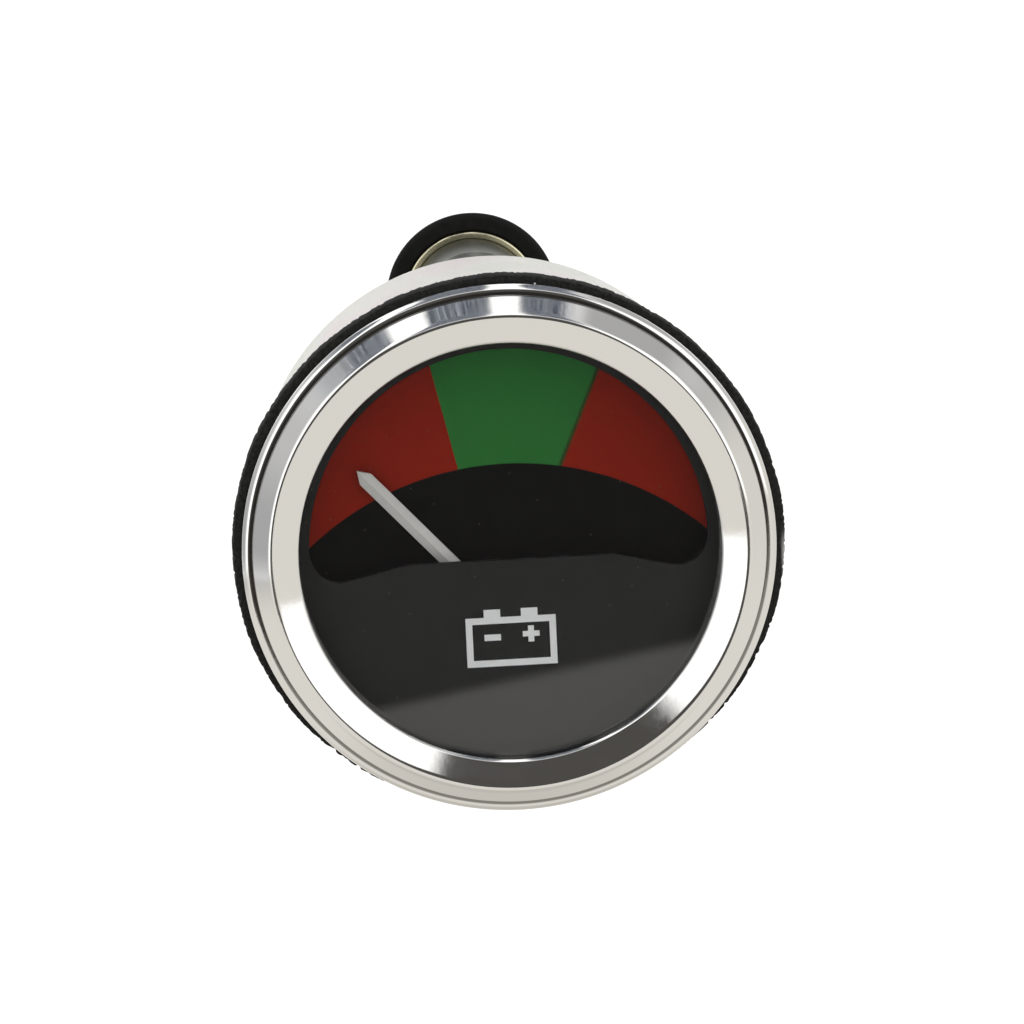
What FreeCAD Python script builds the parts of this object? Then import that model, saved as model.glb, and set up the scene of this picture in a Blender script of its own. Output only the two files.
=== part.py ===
"""Battery gauge for a 52 mm panel hole, with a thermal movement, a push-in lamp and a clamp bracket.

The axis of the gauge runs along Y and its face looks towards -Y. The origin is the centre of the rear
face of the panel gasket, so the plane Y = 0 is the front of the panel that the gauge is fitted in.
"""
import FreeCAD
import Part
import Sketcher
import math
import os
from types import SimpleNamespace

# Driving dimensions in millimetres and degrees. Depths are counted from the panel plane, to the rear.
SIZES = [
    ("can_radius", 26.0, "outside radius of the drawn can"),
    ("can_wall", 0.8, "sheet thickness of the can"),
    ("can_rear", 32.5, "depth of the can's outer rear face"),
    ("can_corner", 1.2, "outside radius of the can's rear corner"),
    ("flange_over", 0.8, "width of the can's mouth flange beyond the can"),
    ("flange_sheet", 0.6, "thickness of the mouth flange"),
    ("gasket_width", 3.25, "radial width of the panel gasket"),
    ("gasket_thickness", 2.4, "thickness of the panel gasket"),
    ("bezel_sheet", 0.5, "sheet thickness of the bezel"),
    ("cone_width", 3.14, "radial width of the bezel's inner cone"),
    ("cone_drop", 1.0, "drop of the opening's lip behind the crest"),
    ("flank_width", 2.0, "radial width of the bezel's outer flank"),
    ("flank_rise", 2.65, "rise of the bezel's crest above the groove"),
    ("groove_over", 1.45, "distance of the bezel's groove outside the can"),
    ("bead_height", 1.35, "height of the rolled rim bead"),
    ("bead_bulge", 0.81, "bulge of the rolled rim bead beyond the groove"),
    ("fit_gap", 0.05, "clearance between fixed pieces"),
    ("cut_over", 1.0, "distance that a cut runs past the metal"),
    ("slide_gap", 0.25, "radial clearance of sliding and turning pieces"),
    ("bearing_gap", 0.1, "radial clearance of the staff in its bearings"),
    ("glass_gap", 0.2, "gap between the can and the lens, mask and dial"),
    ("glass_thickness", 1.5, "thickness of the lens"),
    ("seal_depth", 1.0, "distance of the lens behind the bezel's lip"),
    ("mask_rim_height", 1.7, "height of the mask's front rim"),
    ("mask_sheet", 0.8, "thickness of the mask"),
    ("mask_rim", 1.4, "radial width of the mask's front rim"),
    ("mask_skirt", 1.2, "radial width of the mask's rear skirt"),
    ("window_inset", 1.21, "distance of the mask's window inside the bezel's opening"),
    ("window_edge", 1.5, "drop of the window's straight lower edge below the axis"),
    ("window_half", 11.0, "half length of that straight edge"),
    ("lobe_radius", 3.3, "corner radius of the window's lobes"),
    ("lobe_lift", 0.3, "height of the lobes' corner centres above the axis"),
    ("lobe_slope", 13.0, "slope of the window's edge beside a lobe"),
    ("dial_gap", 2.5, "gap between the mask and the dial"),
    ("dial_sheet", 0.8, "thickness of the dial plate"),
    ("pivot_inset", 16.6, "distance of the pointer's pivot from the can's wall below it"),
    ("rest_angle", 42.3, "lean of the resting pointer to the left of upright"),
    ("pointer_reach", 23.2, "length of the pointer from its pivot to its tip"),
    ("pointer_width", 1.65, "width of the pointer's blade"),
    ("pointer_point", 1.3, "length of the pointer's tapered tip"),
    ("ridge_gap", 0.9, "distance of the blade's ridge behind the mask"),
    ("blade_height", 0.6, "height of the blade from its back to its ridge"),
    ("blade_edge", 0.25, "thickness of the blade's edges"),
    ("hub_radius", 2.6, "radius of the pointer's hub"),
    ("blade_overlap", 0.78, "length of the blade inside the hub"),
    ("hub_gap", 0.6, "gap between the mask and the pointer's hub"),
    ("hub_length", 1.2, "length of the hub"),
    ("staff_radius", 0.6, "radius of the pointer staff"),
    ("staff_over", 0.8, "length of the staff behind its rear bearing"),
    ("staff_hole", 2.0, "radius of the staff's hole in the dial"),
    ("crank_reach", 3.5, "distance of the crank pin from the staff"),
    ("crank_angle", 132.0, "lean of the resting crank to the left of upright"),
    ("crank_pin", 0.45, "radius of the crank pin"),
    ("crank_edge", 0.45, "metal left round the crank pin and the staff"),
    ("crank_gap", 2.2, "gap between the movement frame and the crank arm"),
    ("crank_sheet", 1.0, "thickness of the crank arm"),
    ("post_length", 5.1, "length of the dial posts"),
    ("frame_sheet", 1.2, "sheet thickness of the movement frame"),
    ("frame_margin", 2.5, "width of the movement frame outside its posts"),
    ("foot_below", 12.1, "drop of the frame's lower edge below the pivot"),
    ("bridge_half", 5.0, "half width of the frame's rear arm"),
    ("bridge_gap", 3.0, "gap between the bimetal strip and the frame's rear arm"),
    ("bridge_over", 3.0, "height of the rear arm above the pivot"),
    ("post_x", 10.5, "distance of the dial posts and pillars from the middle"),
    ("post_below", 5.4, "drop of the dial posts below the pivot"),
    ("post_radius", 1.8, "radius of the dial posts"),
    ("dial_screw", 0.75, "radius of the dial screws"),
    ("dial_screw_length", 4.0, "length of the dial screws below their heads"),
    ("dial_head", 1.9, "radius of the dial screws' heads"),
    ("dial_head_height", 0.7, "height of the dial screws' heads"),
    ("pillar_above", 3.6, "height of the pillars above the pivot"),
    ("pillar_radius", 2.0, "radius of the pillars"),
    ("pillar_spigot", 1.2, "radius of the pillars' riveted front ends"),
    ("pillar_thread", 1.5, "radius of the pillars' threaded rear ends"),
    ("rivet_height", 0.8, "height of the pillars' rivet heads"),
    ("nut_flats", 5.5, "width across the pillar nuts' flats"),
    ("nut_height", 2.4, "height of the pillar nuts"),
    ("thread_over", 1.2, "thread standing out of a pillar nut"),
    ("strip_sheet", 0.8, "thickness of the bimetal strip"),
    ("strip_gap", 0.6, "gap between the crank arm and the bimetal strip"),
    ("strip_width", 3.0, "width of the bimetal strip"),
    ("strip_bend", 3.0, "middle radius of the bimetal strip's bend"),
    ("strip_bend_x", 14.0, "distance of that bend's centre from the middle, to the left"),
    ("strip_tip", 1.5, "distance of the free leg's tip from the middle, to the left"),
    ("strip_foot", 10.0, "distance of the fixed leg's end from the middle, to the right"),
    ("pin_gap", 0.3, "gap between the resting crank pin and the free leg"),
    ("winding_start", 13.0, "distance of the winding's outer end from the middle, to the left"),
    ("winding_length", 8.0, "length of the heater winding"),
    ("winding_thickness", 0.6, "thickness of the heater winding"),
    ("adjuster_left", 6.0, "distance of the adjuster's left edge from the middle"),
    ("adjuster_width", 6.5, "width of the zero adjuster"),
    ("adjuster_height", 6.0, "height of the adjuster's plate"),
    ("adjuster_sheet", 1.0, "sheet thickness of the zero adjuster"),
    ("terminal_x", 8.5, "distance of the terminals from the middle"),
    ("terminal_below", 5.4, "drop of the terminals below the pivot"),
    ("blade_width", 6.3, "width of a blade terminal"),
    ("blade_sheet", 0.8, "thickness of a blade terminal"),
    ("blade_root", 3.7, "length of a blade terminal inside the can"),
    ("blade_length", 15.0, "length of a blade terminal"),
    ("blade_taper", 1.0, "corner taper at a blade's outer end"),
    ("bush_radius", 4.0, "radius of a terminal insulator in the can's wall"),
    ("bush_flange", 5.2, "radius of a terminal insulator's flange"),
    ("bush_flange_height", 1.5, "height of that flange"),
    ("bush_inside", 2.0, "length of an insulator inside the can, past its wall"),
    ("stud_radius", 2.5, "radius of the clamp stud"),
    ("stud_head", 5.0, "radius of the clamp stud's head"),
    ("stud_head_height", 1.5, "height of the clamp stud's head"),
    ("stud_length", 22.3, "length of the clamp stud behind its head"),
    ("panel_gap", 2.5, "depth of the bracket's feet"),
    ("bracket_gap", 0.5, "gap between the bracket's legs and the can"),
    ("bracket_sheet", 1.2, "sheet thickness of the bracket"),
    ("bracket_width", 8.0, "width of the bracket"),
    ("bracket_room", 4.5, "room between the can and the bracket"),
    ("bracket_bend", 1.5, "inside radius of the bracket's bends"),
    ("bracket_turn", 12.0, "turn of the bracket about the axis, left leg down"),
    ("washer_radius", 5.0, "outside radius of the lock washer"),
    ("washer_sheet", 0.8, "thickness of the lock washer"),
    ("thumb_radius", 6.5, "outside radius of the thumb nut"),
    ("thumb_length", 7.0, "length of the thumb nut"),
    ("thumb_collar", 1.5, "length of the thumb nut's plain collar"),
    ("thumb_collar_radius", 5.2, "radius of the thumb nut's plain collar"),
    ("thumb_edge", 0.6, "chamfer of the thumb nut's rim"),
    ("knurl_depth", 0.5, "depth of the thumb nut's grooves"),
    ("knurl_width", 0.9, "width of the thumb nut's grooves"),
    ("knurl_count", 24, "number of the thumb nut's grooves"),
    ("lamp_x", 0.7, "distance of the lamp's axis from the middle, to the left"),
    ("lamp_inset", 7.6, "distance of the lamp's axis inside the can's outside"),
    ("sleeve_radius", 6.0, "outside radius of the lamp sleeve"),
    ("sleeve_wall", 0.5, "wall of the lamp sleeve"),
    ("sleeve_inside", 7.7, "length of the lamp sleeve inside the can"),
    ("sleeve_tail", 7.1, "length of the lamp sleeve behind its collar"),
    ("slit_width", 1.0, "width of the slits in the lamp sleeve"),
    ("slit_length", 7.0, "length of those slits"),
    ("collar_radius", 7.5, "radius of the lamp sleeve's collar"),
    ("collar_sheet", 0.7, "thickness of that collar"),
    ("boot_stand", 17.5, "distance of the boot behind the can"),
    ("boot_radius", 9.8, "outside radius of the boot"),
    ("boot_recess", 1.2, "depth of the collar behind the boot's front edge"),
    ("boot_barrel", 10.0, "length of the boot's barrel"),
    ("boot_cone", 5.0, "length of the boot's cone"),
    ("boot_nipple", 4.5, "radius of the boot's nipple"),
    ("boot_nipple_length", 4.0, "length of the boot's nipple"),
    ("boot_wall", 1.6, "wall of the boot behind the lamp sleeve"),
    ("boot_bore", 2.0, "radius of the wire hole in the nipple"),
    ("cap_inset", 2.0, "distance of the bulb base behind the sleeve's inner end"),
    ("cap_length", 12.0, "length of the bulb base"),
    ("cap_gap", 0.15, "clearance of the bulb base in the sleeve"),
    ("bulb_radius", 4.4, "radius of the bulb's glass"),
    ("bulb_length", 12.0, "length of the bulb's glass"),
    ("tip_radius", 2.2, "radius of the lamp contact"),
    ("tip_height", 1.2, "height of the lamp contact's button"),
    ("stem_radius", 1.1, "radius of the lamp contact's stem"),
    ("stem_length", 9.0, "length of the lamp contact's stem"),
    ("spring_wire", 0.5, "thickness of the contact spring"),
    ("spring_length", 5.3, "length of the contact spring"),
    ("disc_length", 2.0, "thickness of the lamp insulator"),
    ("tab_width", 4.8, "width of the lamp terminal"),
    ("tab_sheet", 0.8, "thickness of the lamp terminal"),
    ("tab_length", 8.0, "length of the lamp terminal"),
]


class Size:
    """A dimension that knows both its present value and the expression that gives it."""

    def __init__(self, value, text):
        self.value = value
        self.text = text

    def __add__(self, other):
        other = as_size(other)
        return Size(self.value + other.value, f"({self.text} + {other.text})")

    def __sub__(self, other):
        other = as_size(other)
        return Size(self.value - other.value, f"({self.text} - {other.text})")

    def __mul__(self, other):
        other = as_size(other)
        return Size(self.value * other.value, f"({self.text} * {other.text})")

    def __truediv__(self, other):
        other = as_size(other)
        return Size(self.value / other.value, f"({self.text} / {other.text})")

    def __neg__(self):
        return Size(-self.value, f"(0 - {self.text})")

    def __rsub__(self, other):
        return as_size(other) - self

    __radd__ = __add__
    __rmul__ = __mul__


def as_size(item):
    """Give a plain number the same form as a named dimension."""
    return item if isinstance(item, Size) else Size(float(item), repr(float(item)))


def root(item):
    """Square root of a dimension."""
    return Size(math.sqrt(item.value), f"sqrt({item.text})")


def sine(angle):
    """Sine of an angle in degrees."""
    return Size(math.sin(math.radians(angle.value)), f"sin({angle.text})")


def cosine(angle):
    """Cosine of an angle in degrees."""
    return Size(math.cos(math.radians(angle.value)), f"cos({angle.text})")


ZERO = as_size(0.0)
# Share of a radius, across and along, at an eighth of a turn
EIGHTH = math.sqrt(0.5)
doc = FreeCAD.newDocument("BatteryGauge")
sheet = doc.addObject("Spreadsheet::Sheet", "Sizes")
for row, (alias, value, meaning) in enumerate(SIZES, start=1):
    sheet.set(f"A{row}", meaning)
    sheet.set(f"B{row}", str(value))
    sheet.setAlias(f"B{row}", alias)
doc.recompute()
d = SimpleNamespace(**{alias: Size(float(value), f"Sizes.{alias}") for alias, value, _ in SIZES})

pieces = []


def new_body(label, across=ZERO, up=ZERO, turn=0.0):
    """Start a piece whose own axis is parallel to Y, at the given place across and up."""
    body = doc.addObject("PartDesign::Body", label)
    body.Label = label
    body.Placement = FreeCAD.Placement(
        FreeCAD.Vector(across.value, 0, up.value),
        FreeCAD.Rotation(FreeCAD.Vector(0, 1, 0), turn),
    )
    body.setExpression("Placement.Base.x", across.text)
    body.setExpression("Placement.Base.z", up.text)
    pieces.append(body)
    return body


def origin_feature(body, role):
    """Find one of a body's own origin planes or axes by its role."""
    return next(item for item in body.Origin.OriginFeatures if item.Role == role)


def circle(radius, across=ZERO, up=ZERO):
    """A round outline for a sketch."""
    return ("circle", across, up, radius)


def fix_point(sketch, geometry, corner, across, up):
    """Hold a point of a sketch at named distances from the sketch's origin."""
    for kind, size, axis in (("DistanceX", across, -2), ("DistanceY", up, -1)):
        if size is ZERO:
            sketch.addConstraint(Sketcher.Constraint("PointOnObject", geometry, corner, axis))
        else:
            index = sketch.addConstraint(
                Sketcher.Constraint(kind, -1, 1, geometry, corner, size.value))
            sketch.setExpression(f"Constraints[{index}]", size.text)


def draw_circle(sketch, across, up, radius):
    """Draw a circle held by its centre and radius."""
    centre = FreeCAD.Vector(across.value, up.value, 0)
    index = sketch.addGeometry(Part.Circle(centre, FreeCAD.Vector(0, 0, 1), radius.value))
    if across is ZERO and up is ZERO:
        sketch.addConstraint(Sketcher.Constraint("Coincident", index, 3, -1, 1))
    else:
        fix_point(sketch, index, 3, across, up)
    bound = sketch.addConstraint(Sketcher.Constraint("Radius", index, radius.value))
    sketch.setExpression(f"Constraints[{bound}]", radius.text)


def draw_loop(sketch, corners):
    """Draw a closed outline of straight and round stretches.

    A corner is (across, up), or (across, up, via, radius) where the stretch to the next corner is an arc
    of that radius through the point via.
    """
    ends = []
    for here, after in zip(corners, corners[1:] + corners[:1]):
        start = FreeCAD.Vector(here[0].value, here[1].value, 0)
        stop = FreeCAD.Vector(after[0].value, after[1].value, 0)
        if len(here) == 2:
            ends.append((sketch.addGeometry(Part.LineSegment(start, stop)), 1, 2))
            continue
        via = FreeCAD.Vector(here[2][0].value, here[2][1].value, 0)
        leftward = (via - start).cross(stop - start).z > 0
        first, last = (start, stop) if leftward else (stop, start)
        index = sketch.addGeometry(Part.Arc(first, via, last))
        ends.append((index, 1, 2) if leftward else (index, 2, 1))
        bound = sketch.addConstraint(Sketcher.Constraint("Radius", index, here[3].value))
        sketch.setExpression(f"Constraints[{bound}]", here[3].text)
    for (here, _, tail), (after, head, _) in zip(ends, ends[1:] + ends[:1]):
        sketch.addConstraint(Sketcher.Constraint("Coincident", here, tail, after, head))
    for (index, head, _), corner in zip(ends, corners):
        fix_point(sketch, index, head, corner[0], corner[1])


def new_sketch(body, role, loops, offset=None):
    """Draw outlines on one of a body's origin planes, moved along the plane's normal."""
    sketch = body.newObject("Sketcher::SketchObject", f"{body.Name}_sketch")
    sketch.AttachmentSupport = [(origin_feature(body, role), "")]
    sketch.MapMode = "FlatFace"
    if offset is not None:
        sketch.AttachmentOffset = FreeCAD.Placement(
            FreeCAD.Vector(0, 0, offset.value), FreeCAD.Rotation())
        sketch.setExpression("AttachmentOffset.Base.z", offset.text)
    for loop in loops:
        if loop[0] == "circle":
            draw_circle(sketch, *loop[1:])
        else:
            draw_loop(sketch, loop)
    doc.recompute()
    return sketch


def turn_profile(body, corners):
    """Turn a profile of (radius, depth) corners about the body's Y axis."""
    sketch = new_sketch(body, "XY_Plane", [corners])
    feature = body.newObject("PartDesign::Revolution", f"{body.Name}_turned")
    feature.Profile = sketch
    feature.ReferenceAxis = (sketch, ["V_Axis"])
    feature.Angle = 360.0
    doc.recompute()
    return feature


def press_plate(body, loops, front, back):
    """Add sheet or bar with the given outlines, from one depth to another."""
    sketch = new_sketch(body, "XZ_Plane", loops, -front)
    feature = body.newObject("PartDesign::Pad", f"{body.Name}_plate")
    feature.Profile = sketch
    thickness = back - front
    feature.Length = thickness.value
    feature.setExpression("Length", thickness.text)
    feature.Reversed = True
    doc.recompute()
    return feature


def cut_through(body, loops, front, back):
    """Cut the given outlines out of a body, from one depth to another, and see that metal went."""
    before = body.Shape.Volume
    sketch = new_sketch(body, "XZ_Plane", loops, -front)
    feature = body.newObject("PartDesign::Pocket", f"{body.Name}_cut")
    feature.Profile = sketch
    reach = back - front
    feature.Length = reach.value
    feature.setExpression("Length", reach.text)
    doc.recompute()
    if not body.Shape.Volume < before:
        raise RuntimeError(f"the cut in {body.Label} takes nothing away")
    return feature


def rectangle(left, right, low, high):
    """A rectangular outline."""
    return [(left, low), (right, low), (right, high), (left, high)]


def ring(label, inner, outer, front, back, across=ZERO, up=ZERO):
    """A plain turned ring, tube or disc."""
    body = new_body(label, across, up)
    turn_profile(body, [(inner, front), (outer, front), (outer, back), (inner, back)])
    return body


def group(label, members):
    """Join like pieces, which stay separate solids, under one name."""
    compound = doc.addObject("Part::Compound", label)
    compound.Label = label
    compound.Links = members
    for member in members:
        pieces.remove(member)
    pieces.append(compound)
    doc.recompute()
    return compound


# Radii, from the can outwards and inwards
can_bore = d.can_radius - d.can_wall
stud_hole = d.stud_radius + d.slide_gap
d.flange_radius = d.can_radius + d.flange_over
d.gasket_radius = d.can_radius + d.fit_gap + d.gasket_width
d.groove_radius = d.can_radius + d.groove_over
d.bead_radius = d.groove_radius + d.bead_bulge
d.crest_radius = d.groove_radius - d.flank_width
d.lip_radius = d.crest_radius - d.cone_width
d.window_radius = d.lip_radius - d.window_inset
d.glass_radius = can_bore - d.glass_gap

# Heights in front of the panel plane, and depths behind it
d.groove_height = d.gasket_thickness + d.bead_height
d.crest_height = d.groove_height + d.flank_rise
d.lip_height = d.crest_height - d.cone_drop
bezel_back = -d.gasket_thickness
flange_back = bezel_back - d.bezel_sheet
flange_front = flange_back - d.flange_sheet
lens_front = d.seal_depth - d.lip_height
lens_back = lens_front + d.glass_thickness
mask_front = lens_back + d.mask_rim_height
mask_back = mask_front + d.mask_sheet
d.hub_front = mask_back + d.hub_gap
d.ridge_depth = mask_back + d.ridge_gap
d.blade_back = d.ridge_depth + d.blade_height
d.dial_depth = mask_back + d.dial_gap
dial_back = d.dial_depth + d.dial_sheet
d.frame_depth = dial_back + d.post_length
frame_back = d.frame_depth + d.frame_sheet
d.crank_depth = frame_back + d.crank_gap
d.strip_front = d.crank_depth + d.crank_sheet + d.strip_gap
d.bridge_depth = d.strip_front + d.strip_width + d.bridge_gap
d.staff_end = d.bridge_depth + d.frame_sheet + d.staff_over
rear_wall = d.can_rear - d.can_wall
d.blade_inside = rear_wall - d.blade_root
d.stud_end = rear_wall + d.stud_length
d.bracket_rear = d.can_rear + d.bracket_room + d.bracket_sheet
d.sleeve_front = rear_wall - d.sleeve_inside
d.cap_front = d.sleeve_front + d.cap_inset
d.disc_depth = d.cap_front + d.cap_length + d.tip_height + d.spring_length
d.boot_front = d.can_rear + d.boot_stand
collar_front = d.boot_front + d.boot_recess
collar_back = collar_front + d.collar_sheet
d.sleeve_rear = collar_back + d.sleeve_tail

# Places across the face, from the can's wall below and above
d.pivot_drop = can_bore - d.pivot_inset
pivot_up = -d.pivot_drop
d.frame_foot = d.pivot_drop + d.foot_below
d.post_drop = d.pivot_drop + d.post_below
d.frame_half = d.post_x + d.frame_margin
d.terminal_drop = d.pivot_drop + d.terminal_below
d.pillar_drop = d.pivot_drop - d.pillar_above
d.lamp_lift = d.can_radius - d.lamp_inset


def make_can():
    """Drawn can: a cup with a mouth flange and a pierced rear wall."""
    body = new_body("can")
    bend = d.can_radius - d.can_corner
    bend_depth = d.can_rear - d.can_corner
    inner_round = d.can_corner - d.can_wall
    turn_profile(body, [
        (d.flange_radius, flange_front),
        (d.flange_radius, flange_back),
        (d.can_radius, flange_back),
        (d.can_radius, bend_depth,
         (bend + d.can_corner * EIGHTH, bend_depth + d.can_corner * EIGHTH), d.can_corner),
        (bend, d.can_rear),
        (ZERO, d.can_rear),
        (ZERO, rear_wall),
        (bend, rear_wall, (bend + inner_round * EIGHTH, bend_depth + inner_round * EIGHTH), inner_round),
        (can_bore, bend_depth),
        (can_bore, flange_front),
    ])
    pillar_hole = d.pillar_thread + d.bearing_gap
    bush_hole = d.bush_radius + d.fit_gap
    holes = [
        circle(d.stud_radius + d.fit_gap),
        circle(d.sleeve_radius + d.slide_gap, -d.lamp_x, d.lamp_lift),
    ]
    for side in (-1.0, 1.0):
        holes.append(circle(pillar_hole, d.post_x * side, -d.pillar_drop))
        holes.append(circle(bush_hole, d.terminal_x * side, -d.terminal_drop))
    cut_through(body, holes, rear_wall - d.can_wall, d.can_rear + d.can_wall)


def bezel_corners():
    """Points of the bezel's sheet: the outside, and the inside one sheet behind it."""
    cone_run = d.crest_radius - d.lip_radius
    cone_rise = d.crest_height - d.lip_height
    cone = root(cone_run * cone_run + cone_rise * cone_rise)
    flank_run = d.groove_radius - d.crest_radius
    flank_fall = d.crest_height - d.groove_height
    flank = root(flank_run * flank_run + flank_fall * flank_fall)
    cone_out, cone_back = cone_rise / cone, cone_run / cone
    flank_out, flank_back = -flank_fall / flank, flank_run / flank
    corner = d.bezel_sheet / (cone_out * flank_out + cone_back * flank_back + 1.0)
    return SimpleNamespace(
        lip_inside=(d.lip_radius + d.bezel_sheet * cone_out, d.bezel_sheet * cone_back - d.lip_height),
        crest_inside=(d.crest_radius + corner * (cone_out + flank_out),
                      corner * (cone_back + flank_back) - d.crest_height),
        groove_inside=(d.groove_radius + d.bezel_sheet * flank_out,
                       d.bezel_sheet * flank_back - d.groove_height),
    )


def make_bezel(inside):
    """Pressed bezel: dished cone, crest, outer flank, rolled bead and a lip turned in behind the can."""
    body = new_body("bezel")
    chord = d.groove_height - d.gasket_thickness
    bulge = d.bead_radius - d.groove_radius
    bead_round = (chord * chord / 4.0 + bulge * bulge) / (bulge * 2.0)
    lip_back = d.can_radius + d.slide_gap
    turn_profile(body, [
        (d.lip_radius, -d.lip_height),
        (d.crest_radius, -d.crest_height),
        (d.groove_radius, -d.groove_height,
         (d.bead_radius, bezel_back - chord / 2.0), bead_round),
        (d.groove_radius, bezel_back),
        (lip_back, bezel_back),
        (lip_back, flange_back + d.fit_gap),
        (inside.groove_inside[0], flange_back + d.fit_gap),
        inside.groove_inside,
        inside.crest_inside,
        inside.lip_inside,
    ])


def make_lens_seal(inside):
    """Wedge-shaped rubber ring between the bezel's cone and the lens."""
    body = new_body("lens_seal")
    slope = (inside.lip_inside[1] - inside.crest_inside[1]) / (inside.crest_inside[0] - inside.lip_inside[0])
    back = lens_front - d.fit_gap
    inner_front = inside.lip_inside[1] + d.fit_gap
    outer_front = inner_front - slope * (d.glass_radius - inside.lip_inside[0])
    turn_profile(body, [
        (inside.lip_inside[0], inner_front),
        (d.glass_radius, outer_front),
        (d.glass_radius, back),
        (inside.lip_inside[0], back),
    ])


def window_outline():
    """Outline of the mask's window: a round top, a straight lower edge and two rounded lobes."""
    centre_reach = d.window_radius - d.lobe_radius
    lobe_x = root(centre_reach * centre_reach - d.lobe_lift * d.lobe_lift)
    foot_x = lobe_x - d.lobe_radius * sine(d.lobe_slope)
    foot_z = d.lobe_lift - d.lobe_radius * cosine(d.lobe_slope)
    reach = d.window_radius / centre_reach
    side_x, side_z = lobe_x * reach, d.lobe_lift * reach
    via_x, via_z = lobe_x + d.lobe_radius * EIGHTH, d.lobe_lift - d.lobe_radius * EIGHTH
    return [
        (-d.window_half, -d.window_edge),
        (d.window_half, -d.window_edge),
        (foot_x, foot_z, (via_x, via_z), d.lobe_radius),
        (side_x, side_z, (ZERO, d.window_radius), d.window_radius),
        (-side_x, side_z, (-via_x, via_z), d.lobe_radius),
        (-foot_x, foot_z),
    ]


def make_mask_plate():
    """Moulded mask: a windowed plate, a rim under the lens and a skirt that stands on the dial."""
    body = new_body("mask_plate")
    radius = d.glass_radius
    press_plate(body, [circle(radius), window_outline()], mask_front, mask_back)
    press_plate(body, [circle(radius), circle(radius - d.mask_rim)], lens_back, mask_front)
    press_plate(body, [circle(radius), circle(radius - d.mask_skirt)], mask_back, d.dial_depth)


def make_dial():
    """Dial plate with its staff hole, and the two screws that hold it on the movement's posts."""
    body = new_body("dial_plate")
    holes = [circle(d.glass_radius), circle(d.staff_hole, ZERO, pivot_up)]
    for side in (-1.0, 1.0):
        holes.append(circle(d.dial_screw + d.bearing_gap, d.post_x * side, -d.post_drop))
    press_plate(body, holes, d.dial_depth, dial_back)
    screws = []
    for name, side in (("left", -1.0), ("right", 1.0)):
        screw = new_body(f"dial_screw_{name}", d.post_x * side, -d.post_drop)
        head_front = d.dial_depth - d.dial_head_height
        end = d.dial_depth + d.dial_screw_length
        turn_profile(screw, [
            (ZERO, head_front), (d.dial_head, head_front), (d.dial_head, d.dial_depth),
            (d.dial_screw, d.dial_depth), (d.dial_screw, end), (ZERO, end),
        ])
        screws.append(screw)
    group("dial_screws", screws)


def make_movement_frame():
    """Bent frame: a front plate with dial posts, a floor and a rear arm with the staff's rear bearing."""
    body = new_body("movement_frame")
    bearing = circle(d.staff_radius + d.bearing_gap, ZERO, pivot_up)
    spigot_hole = d.pillar_spigot + d.fit_gap
    front = [rectangle(-d.frame_half, d.frame_half, -d.frame_foot, ZERO), bearing]
    for side in (-1.0, 1.0):
        front.append(circle(spigot_hole, d.post_x * side, -d.pillar_drop))
    press_plate(body, front, d.frame_depth, frame_back)
    floor = rectangle(-d.bridge_half, d.bridge_half, -d.frame_foot, d.frame_sheet - d.frame_foot)
    press_plate(body, [floor], frame_back, d.bridge_depth)
    arm = rectangle(-d.bridge_half, d.bridge_half, -d.frame_foot, d.bridge_over - d.pivot_drop)
    press_plate(body, [arm, bearing], d.bridge_depth, d.bridge_depth + d.frame_sheet)
    for side in (-1.0, 1.0):
        place = (d.post_x * side, -d.post_drop)
        press_plate(body, [circle(d.post_radius, *place), circle(d.dial_screw + d.fit_gap, *place)],
                    dial_back, d.frame_depth)


def make_pillars():
    """Two shouldered pillars, riveted in the frame and bolted to the can's rear wall, and their nuts."""
    pillars = []
    nuts = []
    thread_end = d.can_rear + d.nut_height + d.thread_over
    nut_corner = d.nut_flats / math.sqrt(3.0)
    for name, side in (("left", -1.0), ("right", 1.0)):
        place = (d.post_x * side, -d.pillar_drop)
        pillar = new_body(f"pillar_{name}", *place)
        head_front = d.frame_depth - d.rivet_height
        turn_profile(pillar, [
            (ZERO, head_front), (d.pillar_radius, head_front), (d.pillar_radius, d.frame_depth),
            (d.pillar_spigot, d.frame_depth), (d.pillar_spigot, frame_back),
            (d.pillar_radius, frame_back), (d.pillar_radius, rear_wall),
            (d.pillar_thread, rear_wall), (d.pillar_thread, thread_end), (ZERO, thread_end),
        ])
        pillars.append(pillar)
        nut = new_body(f"pillar_nut_{name}", *place)
        corners = [(nut_corner * math.cos(math.radians(60 * step + 30)),
                    nut_corner * math.sin(math.radians(60 * step + 30))) for step in range(6)]
        press_plate(nut, [corners, circle(d.pillar_thread + d.fit_gap)],
                    d.can_rear, d.can_rear + d.nut_height)
        nuts.append(nut)
    group("frame_pillars", pillars)
    group("pillar_nuts", nuts)


def strip_levels():
    """Heights of the bimetal strip's two legs, set by the resting crank pin above the free one."""
    pin_up = pivot_up + d.crank_reach * cosine(d.crank_angle)
    free_top = pin_up - d.crank_pin - d.pin_gap
    free = free_top - d.strip_sheet / 2.0
    fixed = free - d.strip_bend * 2.0
    return free, fixed


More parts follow.
